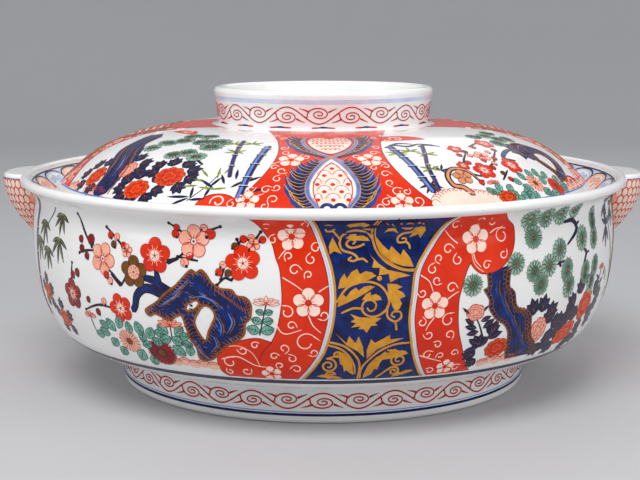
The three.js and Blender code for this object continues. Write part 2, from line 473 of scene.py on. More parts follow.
PORCELAIN = glaze("porcelain", srgb(244, 243, 240), srgb(236, 236, 236), 0.1, 0.05, bump=0.03)
# colour: (light tone, dark tone, roughness, cloud size, metallic, spread, record slot)
COLOURS = {
    "red": (srgb(234, 52, 0), srgb(204, 32, 0), 0.2, 0.02, 0, 0.45, "iron_red"),
    "line_red": (srgb(200, 40, 20), srgb(160, 24, 12), 0.2, 0.006, 0, 0.5, "iron_red"),
    "dark_red": (srgb(172, 20, 8), srgb(120, 8, 4), 0.2, 0.008, 0, 0.5, "iron_red"),
    "pale": (srgb(255, 230, 214), srgb(250, 212, 194), 0.2, 0.004, 0, 0.45, "pink_enamel"),
    "pink": (srgb(252, 190, 166), srgb(244, 160, 134), 0.2, 0.004, 0, 0.45, "pink_enamel"),
    "peach": (srgb(250, 202, 178), srgb(240, 172, 146), 0.2, 0.006, 0, 0.45, "pink_enamel"),
    "tan": (srgb(228, 160, 114), srgb(204, 128, 84), 0.2, 0.004, 0, 0.5, "pink_enamel"),
    "cobalt": (srgb(8, 48, 136), srgb(2, 8, 34), 0.14, 0.004, 0, 0.75, "cobalt_blue"),
    "royal": (srgb(42, 82, 164), srgb(16, 40, 106), 0.14, 0.003, 0, 0.5, "cobalt_blue"),
    "navy": (srgb(28, 36, 84), srgb(10, 12, 38), 0.16, 0.003, 0, 0.6, "cobalt_blue"),
    "blue": (srgb(106, 150, 218), srgb(60, 102, 186), 0.14, 0.004, 0, 0.5, "pale_blue"),
    "pale_blue": (srgb(184, 204, 236), srgb(152, 178, 220), 0.14, 0.01, 0, 0.45, "pale_blue"),
    "lavender": (srgb(214, 220, 238), srgb(190, 198, 226), 0.14, 0.01, 0, 0.45, "pale_blue"),
    "gold": (srgb(226, 164, 52), srgb(196, 128, 30), 0.4, 0.003, 0.12, 0.5, "gold_enamel"),
    "ochre": (srgb(168, 98, 28), srgb(112, 58, 14), 0.34, 0.002, 0.08, 0.5, "gold_enamel"),
    "green": (srgb(152, 184, 160), srgb(118, 152, 130), 0.16, 0.003, 0, 0.5, "green_enamel"),
    "teal": (srgb(142, 200, 182), srgb(86, 154, 140), 0.16, 0.002, 0, 0.5, "green_enamel"),
    "dark_green": (srgb(54, 88, 74), srgb(28, 54, 44), 0.18, 0.003, 0, 0.5, "green_enamel"),
    "olive": (srgb(186, 196, 84), srgb(140, 146, 48), 0.18, 0.003, 0, 0.5, "green_enamel"),
    "brown": (srgb(126, 78, 10), srgb(96, 56, 6), 0.24, 0.003, 0, 0.5, "brown_line"),
    "ink": (srgb(44, 32, 56), srgb(18, 12, 26), 0.2, 0.003, 0, 0.5, "brown_line"),
    "white": (srgb(246, 245, 242), srgb(238, 238, 238), 0.12, 0.01, 0, 0.45, "porcelain_white"),
}
ENAMEL_SHINE = 0.3  # enamel reflects a little less than the bare glaze
ENAMEL_BUMP = 0.005  # and is smoother


# ---- Painting -------------------------------------------------------------------------------------
class Painter:
    """Enamel on one surface."""

    def __init__(self, name, body, surface, up=1, repeats=2):
        self.name = name
        self.body = body
        self.surface = surface
        self.up = up  # which way along the profile is up to someone in front
        self.repeats = repeats  # copies spaced evenly round the axis
        self.shapes = {}
        self.count = 0

    def add(self, colour, layer, points, triangles):
        self.count += 1
        lift = FIRST_LIFT + LAYER_LIFT * layer + SHAPE_LIFT * (self.count % SHAPE_CYCLE)
        shape = (np.asarray(points, float), np.asarray(triangles, int), lift, self.repeats)
        self.shapes.setdefault(colour, []).append(shape)

    # Places and local drawing frames
    def near(self, centre, offsets, turn=0.0):
        """Places of local mm offsets (right, up) from a centre, turned anticlockwise by degrees."""
        offsets = np.atleast_2d(np.asarray(offsets, float))
        a = math.radians(turn)
        x = offsets[:, 0] * math.cos(a) - offsets[:, 1] * math.sin(a)
        y = offsets[:, 0] * math.sin(a) + offsets[:, 1] * math.cos(a)
        v = centre[1] + self.up * y
        return np.column_stack([centre[0] + x / self.surface.mm_per_degree(v), v])

    def flat(self, places):
        """Places as mm in one plane, for curves and triangulation, with the scale of that plane."""
        places = np.atleast_2d(np.asarray(places, float))
        scale = float(np.mean(self.surface.mm_per_degree(places[:, 1])))
        return places * [scale, 1], scale

    # Shapes
    def stroke(self, colour, layer, path, width, closed=False, straight=False, step=0.9):
        """Brush line through places. width is one number, or several spread along the line."""
        plane, scale = self.flat(path)
        line = plane if straight else smooth(plane, step, closed)
        line = line / [scale, 1]
        k = self.surface.mm_per_degree(line[:, 1])
        mm = line * np.column_stack([k, np.ones(len(k))])
        if closed:
            along = np.roll(line, -1, axis=0) - np.roll(line, 1, axis=0)
        else:
            along = np.gradient(line, axis=0)
        along = along * np.column_stack([k, np.ones(len(k))])
        along /= np.linalg.norm(along, axis=1)[:, None] + 1e-12
        widths = np.atleast_1d(np.asarray(width, float))
        half = np.interp(np.linspace(0, 1, len(mm)), np.linspace(0, 1, len(widths)), widths) / 2
        side = np.column_stack([-along[:, 1] / k, along[:, 0]]) * half[:, None]
        n = len(line)
        across = max(1, math.ceil(2 * half.max() / CELL))
        points = np.vstack([line + side * (1 - 2 * row / across) for row in range(across + 1)])
        triangles = []
        last = n if closed else n - 1
        for row in range(across):
            for i in range(last):
                a, b = row * n + i, row * n + (i + 1) % n
                triangles += [(a, a + n, b + n), (a, b + n, b)]
        if not closed:
            tips = []
            for end, sign in ((0, -1), (n - 1, 1)):
                reach = along[end] * half[end] * sign * 0.8
                tips.append(line[end] + reach / [k[end], 1])
            start = len(points)
            points = np.vstack([points, tips])
            for row in range(across):
                triangles += [(row * n, start, (row + 1) * n)]
                triangles += [(row * n + n - 1, (row + 2) * n - 1, start + 1)]
        self.add(colour, layer, points, triangles)

    def fill(self, colour, layer, outline, holes=(), curved=False, cell=CELL):
        """Patch inside an outline of places, with holes left bare."""
        plane, scale = self.flat(outline)
        loops = [plane] + [np.asarray(hole, float) * [scale, 1] for hole in holes]
        if curved:
            loops = [smooth(loop, 0.9, closed=True) for loop in loops]
        loops = [refine(loop, cell) for loop in loops]
        low, high = loops[0].min(axis=0), loops[0].max(axis=0)
        xs = np.arange(low[0] + cell / 2, high[0], cell)
        ys = np.arange(low[1] + cell / 2, high[1], cell)
        extra = np.empty((0, 2))
        if len(xs) and len(ys):
            grid = np.array([(x + (cell / 2 if j % 2 else 0), y) for j, y in enumerate(ys) for x in xs])
            extra = grid[inside(grid, loops[0])]
        vertices = np.vstack(loops + [extra])
        faces = []
        start = 0
        for loop in loops:
            faces.append(list(range(start, start + len(loop))))
            start += len(loop)
        found = delaunay_2d_cdt([Vector(v) for v in vertices], [], faces, 1, 1e-5)
        points = np.array([tuple(v) for v in found[0]])
        triangles = np.array([f for f in found[2] if len(f) == 3])
        if not len(triangles):
            return
        middles = points[triangles].mean(axis=1)
        keep = inside(middles, loops[0])
        for hole in loops[1:]:
            keep &= ~inside(middles, hole)
        self.add(colour, layer, points / [scale, 1], triangles[keep])

    def patch(self, colour, layer, centre, offsets, turn=0.0):
        """Patch inside a star-shaped outline of mm offsets round a centre."""
        offsets = np.asarray(offsets, float)
        rings = max(1, math.ceil(np.linalg.norm(offsets, axis=1).max() / CELL))
        n = len(offsets)
        local = [np.zeros((1, 2))] + [offsets * (i + 1) / rings for i in range(rings)]
        triangles = [(0, 1 + i, 1 + (i + 1) % n) for i in range(n)]
        for ring in range(rings - 1):
            a = 1 + ring * n
            for i in range(n):
                j = (i + 1) % n
                triangles += [(a + i, a + n + i, a + n + j), (a + i, a + n + j, a + j)]
        self.add(colour, layer, self.near(centre, np.vstack(local), turn), triangles)

    def disc(self, colour, layer, centre, radius, tall=None, points=None):
        """Round or oval patch, tall being its radius along the profile."""
        count = points or max(8, min(28, int(6 + 5 * radius)))
        self.patch(colour, layer, centre, oval(radius, tall, count))

    def line(self, colour, layer, centre, offsets, width, turn=0.0, closed=False, step=0.7):
        """Brush line through mm offsets from a centre."""
        self.stroke(colour, layer, self.near(centre, offsets, turn), width, closed, step=step)

    def ring(self, colour, layer, centre, radius, width, tall=None):
        """Brush line round a disc."""
        count = max(8, min(22, int(8 + 3 * radius)))
        self.stroke(colour, layer, self.near(centre, oval(radius, tall, count)), width, True, True)

    def band(self, colour, layer, low, high):
        """Plain band all round, from one height on the profile to another."""
        count = 241
        rows = max(2, math.ceil((high - low) / CELL) + 1)
        thetas = np.linspace(180, 540, count)
        points = [(t, v) for v in np.linspace(low, high, rows) for t in thetas]
        triangles = []
        for row in range(rows - 1):
            for i in range(count - 1):
                a, d = row * count + i, (row + 1) * count + i
                triangles += [(a, a + 1, d + 1), (a, d + 1, d)]
        repeats, self.repeats = self.repeats, 1
        self.add(colour, layer, points, triangles)
        self.repeats = repeats

    def finish(self):
        """Make the mesh pieces, one of each colour."""
        for colour, shapes in self.shapes.items():
            self.mesh_of(colour, shapes)

    def slabs(self, shapes):
        """Upper and lower corners of all copies of the shapes, their triangles and the ways they face."""
        tops, unders, triangles, normals = [], [], [], []
        start = 0
        for points, tris, lift, repeats in shapes:
            k = self.surface.mm_per_degree(points[:, 1])
            corner = (points * np.column_stack([k, np.ones(len(k))]))[tris]
            one, two = corner[:, 1] - corner[:, 0], corner[:, 2] - corner[:, 0]
            area = one[:, 0] * two[:, 1] - one[:, 1] * two[:, 0]
            real = np.abs(area) > 1e-7
            tris, area = tris[real], area[real]
            turned = np.where((area * self.surface.side > 0)[:, None], tris, tris[:, ::-1])
            for copy in range(repeats):
                theta = points[:, 0] + 360 * copy / repeats
                lifts = np.full(len(points), lift)
                tops.append(self.surface.place(theta, points[:, 1], lifts))
                unders.append(self.surface.place(theta, points[:, 1], -SUNK + 0 * lifts))
                normals.append(tops[-1] - unders[-1])
                triangles.append(turned + start)
                start += len(points)
        return np.vstack(tops), np.vstack(unders), np.vstack(triangles), np.vstack(normals)

    def mesh_of(self, colour, shapes):
        """One piece: the painted faces, the same faces below the glaze, and skirts that close the slabs."""
        top, under, tris, outward = self.slabs(shapes)
        count = len(top)
        edges = np.vstack([tris[:, [0, 1]], tris[:, [1, 2]], tris[:, [2, 0]]])
        codes = edges[:, 0] * count + edges[:, 1]
        opposite = edges[:, 1] * count + edges[:, 0]
        rim = edges[~np.isin(opposite, codes)]
        skirt_one = np.column_stack([rim[:, 1], rim[:, 0], rim[:, 0] + count])
        skirt_two = np.column_stack([rim[:, 1], rim[:, 0] + count, rim[:, 1] + count])
        faces = np.vstack([tris, tris[:, ::-1] + count, skirt_one, skirt_two])
        name = "%s_%s" % (self.name, colour)
        mesh = bpy.data.meshes.new(name)
        mesh.vertices.add(2 * count)
        mesh.vertices.foreach_set("co", np.vstack([top, under]).ravel())
        mesh.loops.add(3 * len(faces))
        mesh.loops.foreach_set("vertex_index", faces.ravel())
        mesh.polygons.add(len(faces))
        mesh.polygons.foreach_set("loop_start", np.arange(0, 3 * len(faces), 3))
        flags = np.zeros(len(faces), bool)
        flags[: len(tris)] = True
        mesh.polygons.foreach_set("use_smooth", flags)
        mesh.update(calc_edges=True)
        outward /= np.linalg.norm(outward, axis=1)[:, None]
        corners = np.zeros((3 * len(faces), 3))
        corners[: 3 * len(tris)] = outward[tris.ravel()]
        mesh.normals_split_custom_set(corners.tolist())
        mesh.materials.append(enamel(colour))
        piece = bpy.data.objects.new(name, mesh)
        bpy.context.scene.collection.objects.link(piece)
        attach(piece, self.body)


enamels = {}


def enamel(colour):
    """The material of one colour, made when it is first asked for."""
    if colour not in enamels:
        light, dark, roughness, grain, metallic, spread, slot = COLOURS[colour]
        look = (light, dark, roughness, grain, metallic, spread, ENAMEL_SHINE, ENAMEL_BUMP)
        enamels[colour] = glaze("enamel_" + colour, *look)
    return enamels[colour]


# ---- Motifs ---------------------------------------------------------------------------------------
# kind: (petal, outline, heart, stamens); dark is a shaded copy of red, painted shade for the left of the
# plum scene
PLUMS = {
    "red": ("red", "dark_red", "pale", "dark_red"),
    "dark": ("dark_red", "ink", "peach", "dark_red"),
    "pale": ("pale", "red", "pale", "red"),
    "pink": ("pink", "line_red", "pink", "line_red"),
    "olive": ("brown", "ink", "peach", "line_red"),
    "tan": ("tan", "brown", "pink", "line_red"),
}


def polar(radius, degrees):
    a = math.radians(degrees)
    return (radius * math.cos(a), radius * math.sin(a))


def plum(p, centre, radius, kind, turn=0.0):
    """Five-petalled blossom with fine stamens that spread from its heart."""
    petal, outline, heart, stamen = PLUMS[kind]
    size = radius * 0.42
    # The kind dark is the red blossom with painted shade: it takes the red one's rays, with a thicker
    # outline
    line = {"red": 0.14, "dark": 0.2, "olive": 0.16}.get(kind, 0.24)
    for i in range(5):
        place = p.near(centre, [polar(radius * 0.6, 90 + turn + 72 * i)])[0]
        p.disc(petal, SHAPE, place, size, points=16)
        p.ring(outline, OVER, place, size, line)
    if heart != petal:
        p.disc(heart, OVER, centre, radius * (0.44 if kind == "olive" else 0.3))
    rays = heart if kind in ("red", "dark") else stamen
    count = 20 if radius > 4 and rays == heart else 10
    for i in range(count):
        angle = turn + 18 + 360 * i / count
        reach = radius * (0.56 if i % 2 else 0.4)
        start = 0.1 if rays == heart else 0.2
        p.line(rays, DETAIL, centre, [polar(radius * start, angle), polar(reach, angle)], [0.24, 0.14])
        if rays == heart and i % 4 == 0:
            p.line(stamen, TOP, centre, [(0, 0), polar(reach * 0.7, angle)], [0.22, 0.12])
    p.disc(stamen, TOP, centre, min(0.5, radius * 0.1), points=8)


def bud(p, centre, radius, kind, turn):
    """Round bud with its small dark calyx."""
    petal, outline = PLUMS[kind][:2]
    p.disc(petal, SHAPE, centre, radius, points=12)
    p.ring(outline, OVER, centre, radius, 0.25)
    base = p.near(centre, [polar(radius * 0.95, turn + 180)])[0]
    p.disc("ink", OVER, base, radius * 0.38, points=8)
    fold = [polar(radius * 0.7, turn + 130), (0, 0), polar(radius * 0.6, turn)]
    p.line(outline, DETAIL, centre, fold, 0.2)


def hook(p, centre, radius, turn, flip):
    """C-shaped scroll that ends in a ball, with a short leaf at its start."""
    width, sweep, count = 0.46, 300, 16
    path = []
    for i in range(count):
        t = i / (count - 1)
        path.append(polar(radius * (1 - 0.5 * t), turn + flip * sweep * t))
    p.line("pale", SHAPE, centre, path, [width * 0.5, width, width, width * 0.8])
    p.disc("pale", SHAPE, p.near(centre, [path[-1]])[0], width * 0.75, points=9)
    leaf_tip = polar(radius * 1.35, turn - flip * 32)
    p.line("pale", SHAPE, centre, [path[0], leaf_tip], [width * 1.1, width * 0.2])


def vine(p, path):
    """Short pale stem on the red ground."""
    width = 0.4
    p.stroke("pale", SHAPE, path, [width * 1.2, width, width * 0.6])


def almond(length, width, count=7, tip=1.0):
    """Outline of a pointed leaf that lies along the first axis, round its middle."""
    upper = []
    for i in range(count + 1):
        t = i / count
        upper.append((length * (t - 0.5), width / 2 * math.sin(math.pi * t) ** 0.85 * (1 - 0.25 * tip * t)))
    return upper + [(x, -y) for x, y in upper[-2:0:-1]]


def leaf(p, centre, length, width, turn, colour, vein=None):
    """Plain pointed leaf, with or without a vein."""
    p.patch(colour, SHAPE, centre, almond(length, width), turn)
    if vein:
        p.line(vein, OVER, centre, [(-length * 0.48, 0), (length * 0.42, 0)], 0.24, turn)


def veined_leaf(p, centre, radius, turn):
    """Round leaf with a dark outline and veins."""
    fill, ink = "teal", "dark_green"
    outline = almond(radius * 2.3, radius * 1.7, 8, 0.3)
    p.patch(fill, SHAPE, centre, outline, turn)
    p.line(ink, OVER, centre, outline, 0.26, turn, closed=True)
    p.line(ink, OVER, centre, [(-radius * 1.1, 0), (radius, 0)], 0.24, turn)
    for x in (-0.45, 0.1, 0.55):
        for side in (-1, 1):
            vein = [(radius * x, 0), (radius * (x + 0.35), side * radius * 0.5)]
            p.line(ink, OVER, centre, vein, 0.2, turn)


def peony_leaf(p, centre, size, turn):
    """Dark leaf cut into five pointed lobes, with fine gold veins."""
    p.disc("navy", BELOW, centre, size * 0.3, points=9)
    for swing, share in ((-74, 0.7), (-38, 0.88), (38, 0.88), (74, 0.7), (0, 1.0)):
        middle = p.near(centre, [polar(size * 0.3 * share, turn + swing)])[0]
        p.patch("navy", BELOW, middle, almond(size * 1.15 * share, size * 0.6), turn + swing)
        if share > 0.8:
            vein = [(-size * 0.4 * share, 0), (size * 0.4 * share, 0)]
            p.line("ochre", SHAPE, middle, vein, [0.14, 0.08], turn + swing)


def peony(p, centre, wide, tall, turn=0.0, fill="red", ink="gold", lobes=9):
    """Full flower: a lobed mass with rows of outlined petals."""
    count = lobes * 5
    outline = []
    for i in range(count):
        wave = 1 + 0.12 * abs(math.sin(math.pi * lobes * i / count)) - 0.07
        x, y = polar(wave / 2, 360 * i / count)
        outline.append((x * wide, y * tall))
    p.patch(fill, SHAPE, centre, outline, turn)
    edge = "dark_red" if fill == "red" else "line_red"
    p.line(edge, OVER, centre, outline, 0.24, turn, closed=True, step=0.8)
    for row, (share, number) in enumerate(((0.74, 8), (0.46, 6), (0.18, 3))):
        for i in range(number):
            a = 360 * (i + 0.5 * row) / number
            arc = []
            for swing in (-120, -60, 0, 60, 120):
                cx, cy = polar(share / 2, a)
                dx, dy = polar(0.12, a + swing)
                arc.append(((cx + dx) * wide, (cy + dy) * tall))
            p.line(edge if row == 1 else ink, DETAIL, centre, arc, [0.08, 0.22, 0.08], turn, step=0.8)


def daisy(p, centre, radius, petals, fill, ink, heart, squash=1.0):
    """Chrysanthemum of narrow radiating petals."""
    width = 2 * math.pi * radius / petals * 0.8
    for i in range(petals):
        a = 360 * i / petals
        x, y = polar(radius * 0.56, a)
        place = p.near(centre, [(x, y * squash)])[0]
        p.patch(fill, SHAPE, place, almond(radius * 0.92, width, 6, -0.8), a)
        edge = [polar(radius * 0.25, a + 180 / petals), polar(radius, a + 180 / petals)]
        p.line(ink, OVER, centre, [(x, y * squash) for x, y in edge], 0.24)
    p.disc(heart, OVER, centre, radius * 0.28, radius * 0.28 * squash)
    p.ring(ink, DETAIL, centre, radius * 0.28, 0.24)


def lotus(p, centre, wide, fill):
    """Small flower seen from the side, with fanned pointed petals."""
    squash = 0.62
    for angle in (0, 180, 24, 156, 50, 130, 90):
        length = wide / 2 * (0.75 if 30 < angle < 150 else 1)
        x, y = polar(length / 2, angle)
        middle = p.near(centre, [(x, y * squash)])[0]
        lean = math.degrees(
            math.atan2(math.sin(math.radians(angle)) * squash, math.cos(math.radians(angle)))
        )
        p.patch(fill, SHAPE, middle, almond(length, wide * 0.19), lean)
        p.line("line_red", OVER, middle, almond(length, wide * 0.19), 0.18, lean, closed=True)


def needles(p, centre, radius, tall=None):
    """Cluster of pine needles: a green wash under fine radiating lines."""
    tall = radius if tall is None else tall

    def spoke(angle, start, end):
        (ax, ay), (bx, by) = polar(start, angle), polar(end, angle)
        return [(ax * radius, ay * tall), (bx * radius, by * tall)]

    p.disc("green", SHAPE, centre, radius * 0.94, tall * 0.94)
    count = 26
    for i in range(count):
        dark = spoke(360 * i / count, 0.2, 1.04 if i % 2 else 0.94)
        p.line("dark_green", OVER, centre, dark, [0.2, 0.34, 0.2], step=2)
    for i in range(count // 2):
        p.line("white", OVER, centre, spoke(360 * (i + 0.5) / (count // 2), 0.55, 0.9), 0.16, step=3)
    p.disc("brown", DETAIL, centre, radius * 0.14, tall * 0.14, points=8)
    for i in range(6):
        p.line("brown", DETAIL, centre, [polar(0.1, 60 * i), polar(radius * 0.26, 60 * i + 15)], 0.24)


def branch(p, path, width, colour="ink", core=None):
    """Twig or branch, with a lighter core on the thick ones."""
    p.stroke(colour, BELOW, path, width)
    if core:
        thin = [w * 0.55 for w in np.atleast_1d(width)]
        p.stroke(core, SHAPE, path, thin)


def notched(p, base, tip, height, lobes):
    """Half-leaf of the gold scrollwork: smooth along its stem, cut into points on the other side."""
    ends, scale = p.flat([base, tip])
    along = ends[1] - ends[0]
    length = float(np.hypot(*along))
    along /= length
    up = np.array([-along[1], along[0]])
    outline = [ends[0]]
    for i in range(lobes):
        for share, level in ((0.35, 0.95), (0.8, 1.12), (0.86, 0.62)):
            t = (i + share) / lobes
            if t > 0.97:
                continue
            y = height * level * math.sin(math.pi * min(1, 0.12 + 0.86 * t)) ** 0.8
            outline.append(ends[0] + along * length * t + up * y)
    outline.append(ends[1])
    for t in (0.75, 0.5, 0.25):
        outline.append(ends[0] + along * length * t - up * height * 0.16 * math.sin(math.pi * t))
    p.fill("gold", SHAPE, np.array(outline) / [scale, 1])


def bamboo(p, path, width, joints, colour="blue"):
    """Jointed culm: cobalt with a lighter middle, brown edges and pale joints."""
    p.stroke("cobalt", SHAPE, path, width)
    p.stroke(colour, OVER, shifted(p, path, -width * 0.12), width * 0.42)
    for side in (-1, 1):
        p.stroke("ochre", DETAIL, shifted(p, path, side * width / 2), 0.26)
    for place in joints:
        p.line("white", DETAIL, place, [(-width * 0.55, 0.3), (width * 0.55, 0.3)], 0.26)
        p.line("navy", DETAIL, place, [(-width * 0.7, -0.3), (width * 0.7, -0.3)], 0.5)


def shifted(p, path, distance):
    """The path moved sideways by mm."""
    places = np.asarray(path, float)
    degrees = distance / p.surface.mm_per_degree(places[:, 1])
    return places + np.column_stack([degrees, np.zeros(len(places))])


def leaf_star(p, centre, tips, colour="navy", width=1.5, vein=None):
    """Bamboo leaves that spread from one point, given by (length, direction)."""
    for length, direction in tips:
        middle = p.near(centre, [polar(length / 2, direction)])[0]
        leaf(p, middle, length, width, direction, colour, vein)


def scallops(p, path, colour, ink, size):
    """Row of overlapping rounded mounds."""
    for place in path:
        p.disc(colour, BELOW, place, size, size * 0.8)
        p.line(ink, SHAPE, place, arc_points((0, 0), (size, size * 0.8), 10, 170, 9), 0.32)
        p.line(ink, SHAPE, place, arc_points((0, 0), (size * 0.6, size * 0.45), 20, 160, 7), 0.22)


def mound(p, path):
    """Pale cloud-like bank with a scalloped upper edge."""
    size = 1.9
    p.fill("pale", BELOW, joined(path))
    line = smooth(np.asarray(path, float) * [LID_DEGREE, 1], 2.4) / [LID_DEGREE, 1]
    for place in line[1:-1]:
        p.disc("pale", BELOW, place, size)
        p.line("line_red", SHAPE, place, arc_points((0, 0), (size, size), 10, 170, 9), 0.26)


def joined(*parts):
    """One outline of places from several curved edges with corners between them."""
    scale = [OUTLINE_DEGREE, 1]
    return np.vstack([smooth(np.asarray(part, float) * scale, 1.2) / scale for part in parts])


# ---- Bowl wall: (degrees, mm up the wall) -----------------------------------------------------------
PANEL_LEFT = [
    (-3.6, 27), (-2.7, 30), (-1.2, 35), (0, 40), (0.8, 45), (1.8, 55), (2.1, 65), (1.6, 75), (0.3, 85),
    (-1.5, 96),
]
PANEL_RIGHT = [
    (18.3, 27), (17.4, 30), (16.3, 35), (15.5, 40), (14.9, 45), (14.2, 55), (14.5, 65), (15.1, 75),
    (17.7, 85), (21.7, 96),
]
PANEL_BORDER = 1.15  # degrees between the blue panel and the red beside it


def moved(path, degrees):
    """The path turned round the axis."""
    return [(theta + degrees, v) for theta, v in path]


def blue_panel(p):
    """Blue ground with a gold line, a pale gap and a thin red line down both sides."""
    p.fill("cobalt", GROUND, joined(PANEL_LEFT, PANEL_RIGHT[::-1]))
    for edge, way in ((PANEL_LEFT, -1), (PANEL_RIGHT, 1)):
        for colour, layer, degrees, width in (
            ("gold", SHAPE, 0.18, 0.95), ("lavender", BELOW, 0.72, 0.7), ("dark_red", SHAPE, 1.12, 0.3),
        ):
            p.stroke(colour, layer, moved(edge, degrees * way), width)


def spiral(centre, radius, start, turns):
    """Places of a spiral that winds in to its centre."""
    end = 0.2
    count = int(12 * abs(turns)) + 4
    path = []
    for i in range(count):
        t = i / (count - 1)
        x, y = polar(radius * (1 - (1 - end) * t), start + 360 * turns * t)
        path.append((centre[0] + x / WALL_DEGREE, centre[1] + y))
    return path


GOLD_STEM = [(8.7, 95.5), (8, 91.7), (8, 87.3), (8.7, 82.3), (10.3, 78), (12.7, 75.1), (14.8, 74.4)]
GOLD_STEM_TWIN = [(8.7, 95.5), (8, 91.7), (8, 87.3), (8.7, 82.3), (10.3, 78), (12.7, 75.3), (14.8, 75)]
GOLD_LINES = [
    [
        (2.2, 63), (3.9, 68.6), (6.6, 70.8), (9.2, 69.2), (10.7, 64.2), (10.4, 59.8), (8.7, 57),
        (7.1, 57.6), (6.3, 60.1), (6.7, 63), (7.8, 63.6), (8.6, 62), (8.4, 59.8), (7.6, 59.2), (7.2, 60.4),
    ],
    [
        (10.5, 61), (10.6, 56.7), (11.9, 54.6), (12.9, 56.2), (12.7, 58.4), (11.6, 58.6), (11.2, 57.2),
        (11.8, 56.4),
    ],
    [(11.9, 54.6), (12.1, 53), (12.2, 51.1)],
    [(6.5, 60.2), (5, 60.5), (3.9, 59.6), (3, 58.6)],
    GOLD_STEM,
    [(2.6, 85.5), (3.1, 88.6), (5, 90.5), (7.1, 89.5), (7.9, 87.3)],
    [(2.6, 85.5), (3.1, 83), (4.7, 81.7), (5.5, 80), (4.9, 78.8), (4, 79.4), (4.5, 80.3)],
    [(5.4, 79.4), (6.4, 79.6), (7.1, 78.4)],
    [(6.6, 85.2), (5.6, 84.2), (4.4, 83.9), (3.7, 85.3), (4.4, 87), (5.2, 86.2), (4.8, 85.3)],
    [(-0.2, 92), (0.8, 93), (1.8, 92), (1.5, 90.4), (0.5, 90.2), (0.4, 91.4)],
    [(1.6, 90.2), (2.2, 88.6), (2.7, 87)],
    [
        (15.7, 93.6), (14.9, 89.8), (13.2, 88.9), (12.2, 87.3), (12.3, 85.5), (13.5, 85.7), (13.5, 87),
        (12.9, 86.9),
    ],
    [(13.4, 85.8), (14, 84.8), (14.2, 83)],
    [(12.6, 93.4), (13, 91.2), (14.3, 90.8), (14.8, 92.4), (13.9, 93.4), (13.5, 92.3)],
    [(1, 46.6), (3.4, 44.8), (5.2, 41.1), (6.3, 36.1), (6.2, 27.8)],
    [(14.7, 45.3), (12.2, 44.8), (9.8, 42.3), (7.9, 38), (6.7, 33.6), (6.6, 28)],
    [(0.6, 45.4), (2.9, 43.4), (4.5, 39.6), (5.4, 35), (5.6, 31)],
    spiral((13.2, 37.3), 3.6, 80, 1.6),
    spiral((0.9, 35.3), 3.6, 100, -1.6),
    spiral((2.3, 40.7), 1.5, 0, 1.1),
    spiral((12.6, 31.5), 2.6, 160, -1.5),
    spiral((1.2, 29.8), 2.4, 20, 1.5),
    [(13.2, 41), (12.4, 42), (11, 42.2)],
    [(0.9, 39), (2, 39.8), (3, 39.2)],
    [(9.6, 28.2), (10.6, 30.6), (11.8, 33.4)],
]
# (foot of the stem, tip, height, points)
GOLD_HALF_LEAVES = [
    ((2.4, 68.2), (8.6, 73), 4.8, 3), ((2.3, 61), (8.4, 68.8), 3.2, 3),
    ((6.3, 63.8), (9.6, 63.6), 2.8, 2), ((10.4, 69.8), (11.9, 58.4), 5.2, 3),
    ((3.6, 87.4), (7.6, 86.4), 2.2, 2), ((9.6, 37.6), (14.8, 40.2), 3.6, 3),
    ((12.4, 27.8), (16.4, 31.2), 2.0, 2), ((-1.2, 29.4), (3.6, 27.6), 1.8, 2),
]
GOLD_LEAVES = [
    [
        (4.4, 58.2), (6, 56.8), (9.6, 56.2), (8.5, 54.3), (9, 53.2), (7.9, 53.2), (7.2, 50.3), (6.6, 52),
        (5.8, 51.9), (6.1, 53.2), (4.6, 52.6), (5.4, 54.4), (4.5, 55), (5.2, 56.1),
    ],
    [
        (8.6, 87.9), (9.6, 84.8), (10.7, 82.4), (11.1, 84.2), (12.6, 80.6), (13.1, 82.8), (14.2, 79.5),
        (14.8, 76), (13, 76.4), (11.1, 78), (9.8, 80.8), (8.8, 84.2),
    ],
    [
        (7.5, 81.2), (8.2, 79), (7.9, 76.2), (9.2, 76), (9, 73.2), (10.6, 73.6), (10.9, 70.3), (12.3, 71.9),
        (14.3, 72.6), (12.7, 73.9), (10.5, 75.1), (9, 77.6),
    ],
    [(2.9, 92), (4.4, 93.8), (6.3, 94.6), (7.5, 93), (7.7, 90.3), (6.4, 91), (5.8, 92.2), (4.4, 91.4)],
    [(1.5, 88), (2.2, 84.8), (3, 81.5), (1.8, 82.6), (1, 81.5), (0.9, 84.5)],
    [(10, 94.4), (10.7, 92.6), (11.2, 93.4), (12.3, 89), (11.2, 89.9), (9.9, 89.2), (10.6, 91.2)],
    [(16.4, 93.4), (17, 89.8), (16, 86.8), (15.7, 88.4), (14.1, 87.2), (14.9, 89.6), (15.4, 91.4)],
    [
        (2, 50.4), (3.9, 46), (4.3, 49.1), (5.4, 46), (5.9, 48.8), (6.7, 44.2), (7, 39.3), (5.8, 42.3),
        (3.9, 45.1),
    ],
    [
        (7.5, 38.4), (7.4, 43), (8, 47.5), (8.7, 45.8), (11.2, 49.1), (11.3, 47.2), (13.6, 47.4),
        (11.4, 45.4), (9.2, 43),
    ],
    [
        (2.6, 42.5), (4.2, 40.5), (5, 36.7), (5.4, 30.2), (4.6, 31.6), (4, 33), (3.7, 32), (3.4, 35.4),
        (2.9, 36),
    ],
    [
        (11.1, 41.3), (9.2, 39.2), (7.9, 35.5), (7.2, 30.4), (7.2, 28), (8.6, 30.4), (9, 33.2), (9.6, 32.8),
        (9.9, 36),
    ],
]


